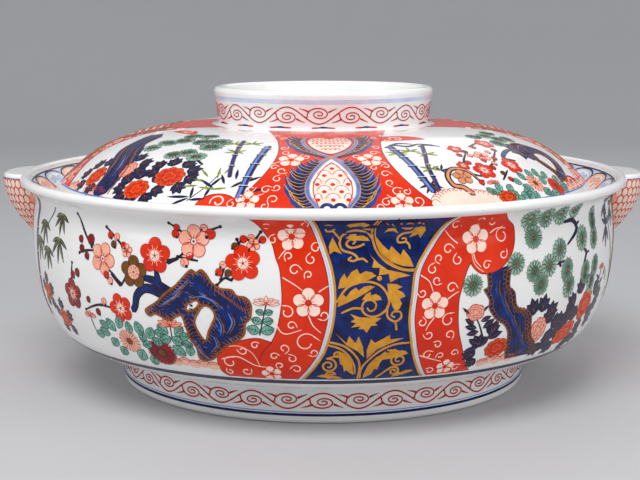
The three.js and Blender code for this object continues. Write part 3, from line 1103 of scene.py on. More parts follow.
def gold_scrolls(p):
    """Leafy scrollwork on the blue panel, over faint dark streaks in the blue."""
    thick = 0.85
    for line in GOLD_LINES:
        p.stroke("gold", SHAPE, line, [thick, thick, thick * 0.8])
    p.stroke("gold", SHAPE, moved(GOLD_STEM_TWIN, 0.5), 0.45)
    p.disc("gold", SHAPE, (9.1, 72), 1.0)
    for base, tip, height, lobes in GOLD_HALF_LEAVES:
        notched(p, base, tip, height, lobes)
    for outline in GOLD_LEAVES:
        p.fill("gold", SHAPE, outline)
    streaks = random.Random(7)
    for _ in range(70):
        theta, v = streaks.uniform(2.5, 14), streaks.uniform(29, 94)
        slant = streaks.uniform(-0.3, 0.3)
        streak = [(theta, v), (theta + slant, v + streaks.uniform(2, 5))]
        p.stroke("navy", BELOW, streak, [0.2, streaks.uniform(0.4, 1), 0.2])


LEFT_BAND_OUTER = [
    (-17.5, 27), (-18.6, 30), (-19, 35), (-18.3, 40), (-16, 44), (-13.5, 46.5), (-11, 47.5), (-8.7, 46),
]
LEFT_BAND_SIDE = [
    (-8.7, 46), (-7.9, 50), (-7.3, 55), (-6.9, 60), (-6.7, 65), (-7, 75), (-7.7, 80), (-8.3, 85),
    (-9.8, 90), (-11.6, 96),
]
RIGHT_BAND_SIDE = [
    (28.4, 27), (27, 31), (25.8, 36), (24.7, 42), (23.8, 47), (23.3, 52), (23.1, 57), (23.1, 62),
    (23.6, 67), (24.2, 72), (25, 76),
]
RIGHT_BAND_OUTER = [
    (25, 76), (25.6, 74), (27, 71.5), (29, 71), (31, 72.5), (32.8, 76), (33.8, 80), (34.2, 85), (34, 89),
    (32.5, 92), (31.2, 96),
]
# (degrees, mm, radius, turn)
BAND_PLUMS = [
    (-5.1, 88, 5.5, 8), (-2.4, 62.6, 6, 0), (-9.2, 30.4, 4.2, 12), (18.7, 60, 5.7, 0), (26.1, 85, 6, 4),
    (22.5, 31.6, 4, 0),
]
# (degrees, mm, radius, turn, which way it curls)
BAND_HOOKS = [
    (-1.2, 84, 2, 60, 1), (-2, 79.5, 2, 120, 1), (-4.6, 75.4, 2.2, 30, 1), (-2.4, 73.6, 1.6, 200, -1),
    (-5.9, 58.8, 2.6, 100, -1), (0.1, 57.6, 2, 240, 1), (-5.2, 53.4, 1.8, 10, 1), (-2.9, 46.2, 4.2, 40, 1),
    (-6.6, 43.4, 2, 300, 1), (-5.4, 38.6, 1.9, 90, -1), (-1.6, 41.6, 1.8, 240, 1), (-4.7, 33.4, 2, 150, -1),
    (-8.4, 39.6, 1.7, 40, 1), (-7.6, 35, 1.6, 220, -1), (-8.2, 86.8, 1.7, 100, 1),
    (-5.6, 80.6, 1.7, 210, -1), (-9.2, 92, 1.6, 10, 1), (-3, 93.4, 1.7, 60, -1), (-16.6, 35.4, 2.7, 80, 1),
    (-13.8, 31, 2, 10, -1), (-13.9, 41.6, 1.9, 200, 1), (-11.6, 44.4, 1.6, 60, 1), (-17, 30.4, 1.6, 150, 1),
    (18.1, 74.6, 2, 100, 1), (18.9, 70, 1.8, 300, -1), (21.6, 66.8, 2.2, 20, 1), (16.4, 65.4, 1.7, 200, 1),
    (16.6, 53.6, 1.8, 60, -1), (21.3, 53.8, 2.8, 80, 1), (18, 48, 1.9, 200, 1), (21.9, 47.4, 2, 330, 1),
    (19.9, 43.4, 1.7, 120, -1), (20.9, 82, 2.1, 30, 1), (19.2, 78.6, 1.7, 250, -1),
    (22.6, 77.6, 2.1, 130, 1), (22.3, 91.4, 2, 10, 1), (27, 92.8, 1.8, 220, -1), (18.4, 38.8, 2, 60, 1),
    (20.9, 37.8, 1.6, 180, -1), (23.6, 38.6, 1.6, 0, 1), (24.8, 30.6, 1.8, 60, 1),
    (19.6, 30.2, 1.7, 120, -1), (31.4, 85.6, 3, 110, 1), (31.6, 78.2, 1.9, 20, -1),
    (28.2, 74.6, 1.8, 60, 1), (29.4, 91.6, 1.7, 140, 1),
]
BAND_VINES = [
    [(-6.5, 72.3), (-4.7, 69.8), (-3.3, 67.4)], [(-0.7, 67), (0.2, 68.4), (0.9, 69.4)],
    [(-2.4, 57.6), (-1.7, 53.6), (-0.4, 50.5)], [(-5.9, 83.4), (-6.6, 81.6), (-7.2, 79.6)],
    [(-8.3, 56), (-6.6, 50), (-3.6, 51.6)], [(-18, 36.8), (-15, 38.4), (-12, 34.6), (-9.6, 33.8)],
    [(15.7, 73), (17.5, 70), (18.3, 65.7)], [(20.7, 62), (22.2, 64.2), (22.9, 65)],
    [(18.7, 55.2), (17.8, 52.3), (17.4, 50)], [(17, 38.6), (19.2, 36.6), (21.4, 34.8)],
    [(25.6, 79.4), (26, 76.6), (27, 74)], [(22.6, 84), (21.4, 86.4), (20.4, 89.4)],
    [(29, 87), (30.4, 88.6), (32.2, 88.4)],
]


def red_bands(p):
    """Red ground on both sides of the blue panel, each with a rounded lobe."""
    p.fill("red", GROUND, joined(LEFT_BAND_OUTER, LEFT_BAND_SIDE, moved(PANEL_LEFT, -PANEL_BORDER)[::-1]))
    p.fill("red", GROUND, joined(RIGHT_BAND_SIDE, RIGHT_BAND_OUTER, moved(PANEL_RIGHT, PANEL_BORDER)[::-1]))
    for edge in (LEFT_BAND_OUTER, LEFT_BAND_SIDE, RIGHT_BAND_SIDE, RIGHT_BAND_OUTER):
        p.stroke("dark_red", BELOW, edge, 0.35)
    p.stroke("dark_red", BELOW, [(-8.7, 46), (-10.4, 41), (-11.4, 35), (-11.2, 30)], [0.35, 0.3, 0.1])
    p.stroke("peach", BELOW, [(-17, 43), (-14.6, 43.6), (-12.6, 41.4), (-11.6, 37.6), (-11.2, 34)], 0.4)
    p.stroke("peach", BELOW, [(25.2, 80.5), (25.6, 76.4), (26.4, 73.8), (27.6, 72)], 0.4)
    for theta, v, radius, turn in BAND_PLUMS:
        plum(p, (theta, v), radius, "pale", turn)
    for theta, v, radius, turn, flip in BAND_HOOKS:
        hook(p, (theta, v), radius, turn, flip)
    for path in BAND_VINES:
        vine(p, path)


def veined_stem(p, foot, top, leaves):
    """Upright stem with pairs of pale teal leaves."""
    branch(p, [foot, top], 0.5, "ink")
    for share, size in leaves:
        theta = foot[0] + (top[0] - foot[0]) * share
        v = foot[1] + (top[1] - foot[1]) * share
        for side in (-1, 1):
            place = p.near((theta, v), [(side * size * 1.15, size * 0.25)])[0]
            veined_leaf(p, place, size, 90 - side * 75)


PLUM_TRUNK = [
    (-31.7, 55.5), (-29.3, 59.2), (-27.2, 63.6), (-25, 67.3), (-23.2, 71.7), (-22.2, 73.6), (-21.3, 72.6),
    (-20.4, 73.9), (-19.4, 72), (-18.6, 69.2), (-17, 67), (-15.1, 66.7), (-14.3, 64.5), (-12.7, 63.9),
    (-11.9, 61.1), (-12.1, 56.1), (-13, 53.6), (-13.3, 49.2), (-14.6, 46.1), (-16.5, 43.6), (-18.6, 39.2),
    (-19.7, 36.4), (-21.6, 35.1), (-22.4, 36.7), (-22.4, 41.1), (-23.3, 44.8), (-23.7, 49.2), (-24.4, 54.8),
    (-25.6, 54.2), (-26.9, 52.3), (-28.5, 53.6), (-29.8, 54.5), (-30.9, 53.3),
]
PLUM_WINDOW = [
    (-20.2, 59.8), (-18.9, 59.2), (-18.2, 56.1), (-18.9, 52.3), (-19.6, 49.2), (-20.4, 44.8), (-21.3, 47.3),
    (-22.1, 52.3), (-21.3, 56.7),
]
PLUM_GAP = [(-23.5, 57.4), (-23, 60.4), (-21.4, 61.8), (-21, 60), (-22.2, 57.6)]


def bark(p, outline, holes, edge=0.9):
    """Cobalt trunk with a brushed ochre edge and short strokes that run in from it."""
    p.fill("cobalt", SHAPE, outline, holes, curved=True)
    for loop in [outline] + list(holes):
        p.stroke("ochre", OVER, loop, edge, closed=True)
        comb(p, loop, 1.5, 2.4 if loop is outline else -2.0)


def comb(p, loop, gap, length):
    """Short slanting strokes on one side of a closed line: inward, or outward where length is negative."""
    plane, scale = p.flat(loop)
    line = smooth(plane, 0.4, closed=True)
    travelled = np.concatenate([[0], np.cumsum(np.hypot(*np.diff(line, axis=0).T))])
    for d in np.arange(0, travelled[-1], gap):
        spot = np.array([np.interp(d, travelled, line[:, i]) for i in (0, 1)])
        ahead = np.array([np.interp(d + 0.4, travelled, line[:, i]) for i in (0, 1)])
        along = (ahead - spot) / (np.hypot(*(ahead - spot)) + 1e-9)
        inward = np.array([-along[1], along[0]])
        if not inside((spot + inward * 0.3)[None], line)[0]:
            inward = -inward
        end = spot + inward * length + along * abs(length) * 0.5
        p.stroke("ochre", DETAIL, np.array([spot, end]) / [scale, 1], [0.5, 0.16], straight=True)


def plum_tree(p):
    """The blue trunk with its three boughs, ochre edges and brushed grain."""
    for path, width in (
        ([(-26, 63.5), (-28.2, 66), (-29.6, 68), (-31.6, 68.8)], [4.2, 4, 2.6]),
        ([(-28.4, 66.6), (-28.8, 70), (-29, 73)], [3, 2.8, 1.6]),
        (
            [(-27, 61.5), (-29.8, 64.2), (-31.7, 64.2), (-33.3, 61.1), (-33.9, 56.7), (-34.5, 54.6)],
            [3.6, 4, 3.6, 3],
        ),
    ):
        branch(p, path, width, "ink", "cobalt")
    bark(p, PLUM_TRUNK, [PLUM_WINDOW, PLUM_GAP])
    for i in range(11):
        place = (-18 + i * 0.55, 66.8 - i * 0.75)
        p.line("ochre", DETAIL, place, [(0, 0), polar(2.6, -40 - 4 * i)], [0.45, 0.2])
    for path in (
        [(-25.5, 63), (-23.6, 66.8), (-22.4, 69.6)],
        [(-28.4, 57.6), (-25.6, 61.6), (-23.8, 65)],
        [(-20.4, 65), (-18.4, 62.4), (-16.8, 59)],
        [(-17.6, 56), (-16.8, 52), (-17, 48)],
        [(-15.4, 57.6), (-14.8, 53.6), (-15.8, 49)],
        [(-22, 62.6), (-19.6, 63.4), (-17.4, 61)],
        [(-21.8, 43), (-21.4, 39.4), (-20.6, 37)],
        [(-18.4, 47), (-18, 43.4), (-19.4, 39.6)],
    ):
        p.stroke("ochre", DETAIL, path, [0.2, 0.5, 0.2])
        p.stroke("navy", DETAIL, moved(path, 0.5), [0.3, 0.9, 0.3])
        p.stroke("blue", DETAIL, moved(path, -0.45), [0.2, 0.6, 0.2])
    grain(p, PLUM_TRUNK, PLUM_WINDOW, 120)


def grain(p, outline, window, count):
    """Short brush strokes scattered over a trunk, fanning out from left to right."""
    strokes = random.Random(3)
    low, high = np.min(outline, axis=0), np.max(outline, axis=0)
    drawn = 0
    while drawn < count:
        theta, v = strokes.uniform(low[0], high[0]), strokes.uniform(low[1], high[1])
        colour = strokes.choice(("navy", "navy", "ink", "blue", "ochre"))
        spot = np.array([(theta, v)])
        if not inside(spot, np.array(outline))[0] or inside(spot, np.array(window))[0]:
            continue
        slant = 40 - 120 * (theta - low[0]) / (high[0] - low[0]) + strokes.uniform(-12, 12)
        length = strokes.uniform(1.2, 2.4)
        thick = 0.3 if colour in ("blue", "ochre") else 0.5
        p.line(
            colour, DETAIL, (theta, v), [polar(-length / 2, slant), polar(length / 2, slant)],
            [0.1, thick, 0.1],
        )
        drawn += 1


# (degrees, mm, radius, kind, turn); the kind dark is a red blossom with painted shade
PLUM_BLOSSOMS = [
    (-29.2, 78, 7.2, "red", 0), (-13.1, 77.4, 7, "red", 10), (-37.5, 54.5, 6.2, "red", 20),
    (-51.3, 56, 6.6, "dark", 0), (-21.8, 84.8, 6.6, "pink", 0), (-41.1, 74, 6.8, "pink", -24),
    (-33.7, 70.5, 6.6, "olive", 0), (-35.2, 78.6, 2.8, "pink", 0), (-11.4, 84.6, 2.6, "pink", 30),
]
# (degrees, mm, radius, kind); buds of the kind dark are red ones with painted shade
PLUM_BUDS = [
    (-39.2, 84, 1.5, "red"), (-36, 80.6, 1.4, "red"), (-25.3, 87.3, 1.6, "red"), (-18.8, 88, 2.1, "red"),
    (-22.4, 79, 1.5, "red"), (-17.2, 73.5, 1.5, "red"), (-13.1, 86.6, 1.5, "red"), (-9.9, 86.6, 1.4, "red"),
    (-45.5, 74, 1.5, "dark"), (-44.3, 81, 2.2, "dark"), (-47.3, 80.5, 1.5, "dark"),
    (-40.3, 67.6, 1.6, "red"), (-43.8, 50.8, 1.5, "dark"), (-48.9, 66, 1.7, "dark"),
    (-37.6, 83.6, 1.5, "pink"), (-19.9, 90.4, 1.5, "pink"), (-23.4, 76.4, 1.8, "pink"),
    (-16.5, 76.4, 1.4, "pink"), (-11.8, 87.2, 1.4, "pink"), (-47, 76.7, 1.6, "dark"),
    (-39.4, 65.4, 1.5, "pink"), (-41.7, 56, 1.5, "pink"), (-38.3, 80.5, 1.5, "olive"),
    (-15.6, 73.4, 1.4, "olive"), (-14.5, 83.8, 1.4, "olive"), (-25, 89.8, 1.4, "red"),
    (-50.5, 64.6, 1.6, "dark"), (-46.2, 55.4, 1.3, "dark"),
]
# (degrees, mm, radius, turn)
PLUM_LEAVES = [
    (-34, 46.7, 2.4, 110), (-31.6, 45.4, 2.2, 60), (-28.7, 48, 2.1, 150), (-25.4, 48, 2, 40),
    (-28.5, 43.6, 2.2, 200), (-26, 43.4, 2.2, -20), (-26.2, 38.6, 2.4, -40), (-23.9, 39.4, 2, 80),
    (-41, 46, 2.4, 130), (-38.6, 48, 2.2, 70), (-35.4, 33.2, 2.6, 240), (-33.6, 43, 2, 250),
    (-43.4, 42, 2.2, 160), (-41.6, 37.4, 2.2, 220), (-30.4, 41.8, 2, 160), (-36.4, 46.4, 2, 100),
    (-43, 45.4, 2, 150), (-40, 33.6, 2.2, 230), (-33, 39.6, 2, 200), (-24.4, 46, 1.8, 10),
    (-24.2, 42.4, 1.8, -10), (-29.6, 46, 1.8, 170), (-32.8, 31.4, 2.2, 250), (-45.2, 40, 2, 190),
]
PLUM_TWIGS = [
    [(-40.4, 87), (-37.3, 82.3), (-35.7, 79)],
    [(-40, 70.5), (-38.4, 68), (-36.9, 64.5), (-35.6, 68)],
    [(-26.4, 76.2), (-25, 77.3), (-23.7, 79.8)],
    [(-24.7, 78.4), (-21, 77.4)],
    [(-26.4, 91.4), (-24.8, 89.2), (-23.6, 87.6)],
    [(-17, 91.2), (-19.7, 88.6), (-20.6, 87)],
    [(-17.6, 68.4), (-16.2, 71.4), (-15.1, 70.8), (-14.3, 73.6)],
    [(-16.9, 70.6), (-16.6, 73.4), (-16.2, 76)],
    [(-14.2, 86.4), (-13.3, 82.3)],
    [(-10.2, 89.6), (-10.9, 87.2), (-12, 82.6)],
    [(-48.6, 90.5), (-46.5, 84.2), (-44.1, 78)],
    [(-47.8, 74.6), (-45.7, 76.1), (-43.6, 76.7)],
    [(-47.6, 50.5), (-44.9, 53), (-42.7, 54.2), (-39.8, 53.9)],
    [(-50.5, 69.6), (-50.9, 65.4), (-51.2, 61)],
]


def plum_scene(p):
    """Flowering plum over an ornamental rock, with chrysanthemums at its foot."""
    for path in PLUM_TWIGS:
        branch(p, path, [0.7, 1.1, 0.8])
        for place in path[::2]:
            p.disc("ink", BELOW, place, 0.75, points=8)
    branch(p, [(-39, 68.4), (-36.9, 64.5)], [1.4, 2.2])
    branch(p, [(-26.6, 76), (-24.6, 77.8)], [2.2, 1.2])
    plum_tree(p)
    for theta, v, radius, kind, turn in PLUM_BLOSSOMS:
        plum(p, (theta, v), radius, kind, turn)
    for theta, v, radius, kind in PLUM_BUDS:
        bud(p, (theta, v), radius, kind, 40 if theta > -20 else 120)
    for theta, v, radius, turn in PLUM_LEAVES:
        veined_leaf(p, (theta, v), radius * 1.2, turn)
    daisy(p, (-37.3, 39.6), 5.8, 18, "peach", "line_red", "brown", 0.95)
    daisy(p, (-30.2, 36.4), 7, 22, "dark_red", "ink", "brown", 0.92)
    branch(p, [(-27, 51), (-27, 44)], 0.5, "ink")
    lotus(p, (-27, 50), 12, fill="pink")
    veined_stem(p, (-10.6, 49), (-9.3, 62), [(0.12, 2.4), (0.42, 1.9), (0.7, 1.5)])
    lotus(p, (-9.3, 62), 10.5, fill="pale")
    scallops(p, [(-27.6 + 1.9 * i, 32.5 + (i % 2) * 0.8) for i in range(5)], "peach", "line_red", 2.6)
    lotus(p, (-46.6, 48), 8, fill="peach")
    branch(p, [(-46.6, 47), (-46.2, 40)], 0.5, "ink")
    for theta, v, size in (
        (-55.3, 78.6, 8.5), (-54.5, 89, 7), (-62.5, 84, 8), (-60.8, 73, 7.5), (-66, 76, 8),
    ):
        tips = [(size * 1.4, -100), (size * 1.3, -70), (size * 1.3, -135), (size, -30), (size * 0.9, 200)]
        leaf_star(p, (theta, v), tips, "ink", 2.2, "olive")
    bamboo(
        p, [(-71, 38), (-69.5, 60), (-67.4, 92)], 2.4, [(-70.4, 46), (-69.6, 57), (-68.9, 68), (-68.2, 79)],
        "blue",
    )
    branch(p, [(-64.5, 70), (-62, 80), (-57, 91)], 0.5, "navy")
    for theta, v, wide in ((-58, 42, 10), (-64, 52, 9)):
        peony(p, (theta, v), wide, wide * 0.8)
        for turn in (20, 90, 160, 230, 310):
            place = p.near((theta, v), [polar(wide * 0.56, turn)])[0]
            peony_leaf(p, place, 5, turn)


PINE_LEFT = [
    (28.3, 71.2), (28.6, 65.5), (27.8, 64.8), (29, 60.5), (29.2, 56.7), (30.7, 52.3), (32.8, 49.2),
    (34.2, 44.8), (34.7, 39.2), (35.2, 35.1), (36, 31),
]
PINE_RIGHT = [
    (43.2, 31), (42.7, 36.7), (41.1, 39.8), (39.9, 44.8), (39.2, 50.5), (37.9, 53.6), (36, 54.8),
    (35, 57.3), (34.4, 62.3), (33.2, 64.8), (33.2, 70), (33.4, 72.4),
]
PINE_TOP = [(33.4, 73.4), (32.4, 73.4), (31, 72.5), (29, 71), (28.4, 71.1)]
PINE_CORE = [(31, 67.5), (31.2, 65), (31.9, 60), (33.4, 54), (35.9, 48), (37.6, 42), (39.4, 34)]
# (degrees, mm, radius, height where it isn't round)
PINE_NEEDLES = [
    (25.6, 67, 4.6, None), (34.4, 73.7, 4.7, None), (37.8, 90.8, 5.2, None), (38.6, 83.6, 5.2, None),
    (41.8, 91, 4.8, None), (45.9, 91, 5.2, 4.6), (45.5, 76.4, 5, None), (42.6, 70.8, 5, None),
    (38.8, 69.5, 4.7, None), (40.7, 63.6, 4.7, None), (48.1, 67.3, 4.6, 5.4), (49.1, 60.1, 4.6, 5.2),
    (53, 79.2, 5, 5.6), (58.1, 78, 4.2, 5.2), (57.8, 86, 3.6, 5.6), (54.9, 64.2, 4.4, 5.4),
    (59.2, 65.5, 4, 5), (58, 58.3, 4.2, 4.8), (50.3, 92, 4.6, 3.6),
]


def scales(p, path, inward, rows):
    """Rows of small dark scales with ochre outlines along one edge of the pine's trunk."""
    gap = 1.9
    line = joined(path)
    distance = np.concatenate([[0], np.cumsum(np.hypot(*(np.diff(line, axis=0) * [WALL_DEGREE, 1]).T))])
    for row in range(rows):
        for d in np.arange(0.6 + 0.9 * row, distance[-1] - 0.5, gap):
            theta = np.interp(d, distance, line[:, 0]) + inward * (0.45 + 0.75 * row)
            v = np.interp(d, distance, line[:, 1])
            p.disc("navy", OVER, (theta, v), 1.0, points=9)
            p.ring("ochre", DETAIL, (theta, v), 0.95, 0.2)
    p.stroke("ochre", DETAIL, path, 0.36)


def pine_trunk(p):
    """Blue trunk with scaly edges and long brush strokes down its middle."""
    p.fill("cobalt", BELOW, joined(PINE_LEFT, PINE_RIGHT, PINE_TOP))
    p.stroke("cobalt", SHAPE, PINE_CORE, [5, 6.5, 6, 7])
    scales(p, PINE_LEFT, 1, 1)
    scales(p, PINE_RIGHT[::-1], -1, 2)
    for start, end in (
        ((31, 68), (31.4, 61)), ((32.2, 63), (33.2, 56)), ((34.8, 53), (36.4, 46.6)),
        ((36.6, 48), (38.4, 41)), ((38, 44), (39.6, 37)), ((33, 58), (34.6, 52)),
    ):
        path = [start, ((start[0] + end[0]) / 2 - 0.3, (start[1] + end[1]) / 2), end]
        p.stroke("ochre", DETAIL, path, [0.2, 0.5, 0.2])
        p.stroke("navy", DETAIL, moved(path, 0.6), [0.3, 1, 0.3])
        p.stroke("royal", DETAIL, moved(path, -0.6), [0.3, 1.1, 0.3])


def pine_boughs(p):
    """Dark boughs and the round clusters of needles."""
    for path, width in (
        ([(47.2, 87.4), (49.8, 87.6), (51.2, 85), (50.6, 82), (48, 78)], [1.2, 2.2, 1.8, 0.9]),
        ([(49.8, 87.4), (50.9, 90.8)], [2.2, 1.4]),
        ([(50.8, 85), (52.2, 86.4)], [1.6, 0.8]),
        ([(53.6, 75), (54.8, 72.6), (54.2, 68.8)], [1, 1.8, 1.2]),
        ([(54.6, 72.6), (56, 72.8)], [1.2, 0.7]),
        ([(45.4, 72), (45.9, 69.6)], [1.6, 1.4]),
        ([(46.8, 71.4), (44.9, 70.6)], [1, 0.8]),
    ):
        branch(p, path, width, "ink")
        p.stroke("navy", SHAPE, path, [w * 0.4 for w in width])
    for theta, v, radius, tall in PINE_NEEDLES:
        needles(p, (theta, v), radius, tall)


def pine_peonies(p):
    """Peonies round the foot of the pine, and the stem on its left."""
    branch(p, [(26.7, 53.6), (27.6, 50), (28.6, 45)], [0.5, 0.7, 0.9])
    for theta, v, turn, size in (
        (25.5, 52.2, 150, 3.4), (28.8, 52.6, 20, 3.4), (25.9, 49.6, 168, 3.8), (29.5, 50.4, 35, 4.2),
        (26.4, 47, 188, 3.8), (30.8, 47.4, 60, 5), (31.4, 44.8, 20, 4.8), (27.2, 42.6, 150, 4.6),
        (29.4, 42.4, 60, 4), (26.8, 39, 190, 4.2),
    ):
        p.patch("navy", SHAPE, (theta, v), almond(size * 1.5, size * 0.78), turn)
        p.line("ochre", OVER, (theta, v), [(-size * 0.6, 0), (size * 0.6, 0)], [0.24, 0.1], turn)
    for theta, v, turn, size in (
        (30.4, 46.6, 70, 6), (28.4, 41.6, 130, 6.4), (27.4, 36.4, 170, 6), (28.2, 32.8, 220, 5),
    ):
        peony_leaf(p, (theta, v), size, turn)
    peony(p, (26.5, 55.8), 8, 6.6, 0, "pink", "line_red", lobes=5)
    for way in (-1, 1):
        leaf(p, p.near((26.5, 56.2), [(way * 4.4, 0.6)])[0], 4.6, 1.3, 90 - way * 50, "navy")
    peony(p, (32.6, 38.2), 11.4, 9)
    peony(p, (42, 43), 10, 12, 0, "pink", "line_red")
    peony(p, (52, 37.8), 15, 10, 20)
    peony(p, (57.2, 49), 14, 12, 60)
    for theta, v, turn in (
        (39.6, 52.8, 110), (42, 53.4, 80), (44.4, 50.4, 40), (46.4, 45.4, 0), (45.6, 39.6, -30),
        (43.6, 34.2, -70), (40.2, 36.4, 200), (48.2, 44.6, 130), (50.8, 46.4, 80), (51.8, 52, 150),
        (54.2, 57, 110), (57.6, 58, 80), (61.2, 54, 30), (62.4, 47, 0), (61.6, 40, -20), (58, 39.4, 210),
        (48.4, 33, 230), (54.2, 31.6, -60), (57.6, 33.6, -30), (49, 40, 180), (53.6, 46, 160),
        (46.6, 36, 200), (50.4, 43, 120), (60.4, 44, 0), (63.2, 51, 20), (55.4, 34, -80), (44, 47.4, 60),
        (38.6, 49.6, 150),
    ):
        peony_leaf(p, (theta, v), 7, turn)


def pine_scene(p):
    """Pine with a scaly trunk, peonies at its foot and bamboo beyond."""
    pine_trunk(p)
    pine_boughs(p)
    pine_peonies(p)
    scallops(p, [(30.4 + 1.7 * i, 31.2 + (i % 2) * 0.9) for i in range(6)], "peach", "line_red", 2.6)
    bud_stem = [(62, 55), (63.2, 60), (63.7, 63.6)]
    branch(p, bud_stem, 0.6)
    lotus(p, (63.7, 63), 7, fill="pink")
    for theta, v, turn in ((61.8, 59.6, 150), (64.4, 57, 30), (66, 60.5, 60)):
        leaf(p, (theta, v), 4.4, 1.8, turn, "navy", "ochre")
    for theta, v, size in ((65.6, 81, 7), (65.2, 91, 6), (70.4, 88, 6.5)):
        tips = [
            (size * 1.4, -95), (size * 1.2, -60), (size * 1.3, -130), (size, 150), (size, 30),
            (size * 0.8, 90),
        ]
        leaf_star(p, (theta, v), tips, "navy", 2.1)
    branch(p, [(67.2, 82), (70.4, 70), (73.6, 56), (75.4, 40)], [0.5, 0.7, 0.7], "navy")
    bamboo(
        p, [(77.2, 38), (76, 60), (74.6, 92)], 2.2, [(76.8, 46), (76.2, 57), (75.6, 68), (75.1, 79)],
        "blue",
    )
    for theta, v, turn in ((67.6, 58, 100), (69.8, 50, 60), (71.6, 62, 130)):
        leaf(p, (theta, v), 5, 1.6, turn, "olive", "dark_green")


def side_borders(p):
    """Narrow red lobes that close the scenes beside the handles, with dark red lines down both sides."""
    left = [
        (82.5, 27), (80.4, 34), (79.6, 42), (80.8, 50), (82.6, 58), (82.8, 66), (81.6, 74), (80.6, 82),
        (80.4, 90), (81, 96),
    ]
    right = [
        (101, 27), (102.6, 34), (103.2, 42), (102.4, 50), (101, 58), (100.6, 66), (101.4, 74), (102.6, 82),
        (103, 90), (102.6, 96),
    ]
    p.fill("red", GROUND, joined(left, right[::-1]))
    for edge in (left, right):
        p.stroke("dark_red", BELOW, edge, 0.35)
    for theta, v, radius in (
        (84.6, 88, 4.6), (98.4, 40, 5.2), (86.4, 46, 5.2), (91, 33, 4.2), (98, 86, 4.6),
    ):
        plum(p, (theta, v), radius, "pale")
    hooks = random.Random(11)
    for theta in (82.6, 85.4, 89, 93, 96.4, 99.6):
        for v in (31, 37.6, 52, 58.6):
            if hooks.random() < 0.8:
                place = (theta + hooks.uniform(-0.7, 0.7), v + hooks.uniform(-1.6, 1.6))
                radius = hooks.uniform(1.6, 2.2)
                hook(p, place, radius, hooks.uniform(0, 360), hooks.choice((-1, 1)))
    for theta in (82.8, 99.6):
        for v in (66, 72, 79, 94):
            place = (theta + hooks.uniform(-0.5, 0.5), v)
            hook(p, place, 1.8, hooks.uniform(0, 360), hooks.choice((-1, 1)))


def paint_wall():
    """All that is painted on the bowl's wall, twice round."""
    p = Painter("wall", "bowl", wall_surface)
    red_bands(p)
    blue_panel(p)
    gold_scrolls(p)
    plum_scene(p)
    pine_scene(p)
    side_borders(p)
    p.band("navy", BELOW, 22.6, 25.8)
    # Painted shade: a thin navy line along the crease where the wall meets the foot ring
    p.band("navy", BELOW, 1.0, 1.5)
    p.finish()


# ---- Lid: (degrees, mm from the grip ring outwards) ---------------------------------------------------
PANEL_AXIS = 1.9  # the middle of the front panel
LID_LINE = 76.6  # outer end of the painted field


def panel_half(s):
    """Half-width in degrees of the lid's red panels."""
    return 13.35 + (6.95 * ((s - 45) / 31) ** 2 if s > 45 else 0.0081 * (45 - s) ** 2)


def lid_panel(p):
    """Red panel with a medallion of blue wings, shells and small flowers."""
    reach = np.linspace(1, LID_LINE, 26)
    left = [(PANEL_AXIS - panel_half(s), s) for s in reach]
    right = [(PANEL_AXIS + panel_half(s), s) for s in reach]
    p.fill("red", GROUND, joined(left, right[::-1]))
    for edge in (left, right):
        p.stroke("dark_red", BELOW, edge, 0.35)
    for theta, s, radius in ((-7.6, 47.2, 5.4), (11.1, 47.2, 5.2), (-14.6, 72.6, 5), (15.1, 73.4, 4.8)):
        plum(p, (theta, s), radius, "pale")
    for theta, s, radius, turn, flip in (
        (-11.4, 66.5, 2, 60, 1), (-9.6, 71.5, 2.2, 200, -1), (-9.6, 60.4, 1.8, 100, 1),
        (-9, 55.4, 2, 300, -1), (-11, 53, 1.6, 40, 1), (-9.4, 65.4, 1.7, 250, 1), (-14.4, 66.4, 1.6, 0, -1),
        (-17.6, 74.4, 1.8, 120, 1), (-11, 75, 1.7, 30, -1), (14.7, 67.8, 2.2, 60, 1),
        (13.7, 63, 1.8, 250, -1), (13.4, 57.6, 2, 20, 1), (14.2, 52.4, 1.7, 160, -1),
        (11.4, 53.4, 1.6, 80, 1), (18.4, 73, 2.2, 300, 1), (16.6, 68, 1.6, 20, -1), (12, 73, 1.9, 90, 1),
        (10.6, 75.4, 1.6, 0, 1), (-9.4, 41, 1.8, 100, 1), (-10.6, 36, 1.7, 20, -1),
        (-4.2, 44.4, 1.6, 200, 1), (13, 41, 1.8, 30, 1), (14.4, 35.6, 1.7, 120, -1), (8, 44.4, 1.6, 0, 1),
        (-15.4, 28, 1.8, 60, 1), (19.4, 28, 1.8, 60, -1), (-17, 18, 1.7, 10, 1), (21, 18, 1.7, 0, -1),
        (-13, 22, 1.6, 80, 1), (17, 22, 1.6, 90, 1),
    ):
        hook(p, (theta, s), radius, turn, flip)
    for path in (
        [(-12, 51), (-10.2, 49), (-9, 48)], [(-6, 44), (-5, 42)], [(14.6, 50), (13, 48.4)],
        [(-13, 70), (-11.6, 68.8)], [(13.2, 71), (12.4, 69.4)],
    ):
        vine(p, path)


SHELL = [
    (1.9, 44.6), (3.6, 48.6), (4.9, 52.6), (6, 57), (6.8, 61.6), (7, 65.6), (6.6, 69.8), (5.6, 73),
    (4.6, 76),
]
RIBBON = [
    (PANEL_AXIS - 2.6, 48.4), (PANEL_AXIS, 45), (4.6, 41.4), (7.6, 36.4), (9.4, 31), (10.1, 25.6),
    (9.4, 20),
]


def mirrored(path):
    """The path on the other side of the panel's axis."""
    return [(2 * PANEL_AXIS - theta, v) for theta, v in path]


def medallion(p):
    """Teardrop medallion below the crossing of two blue ribbons, and a heart above it."""
    teardrop(p)
    wings(p, SHELL, 18, 9.4)
    heart(p)
    wings(p, RIBBON[1:], 12, 7.4)
    for side in (RIBBON, mirrored(RIBBON), SHELL, mirrored(SHELL)):
        p.stroke("blue", OVER, side, 1.9)
        for way in (-1, 1):
            p.stroke("gold", DETAIL, moved(side, way * 0.42), 0.32)


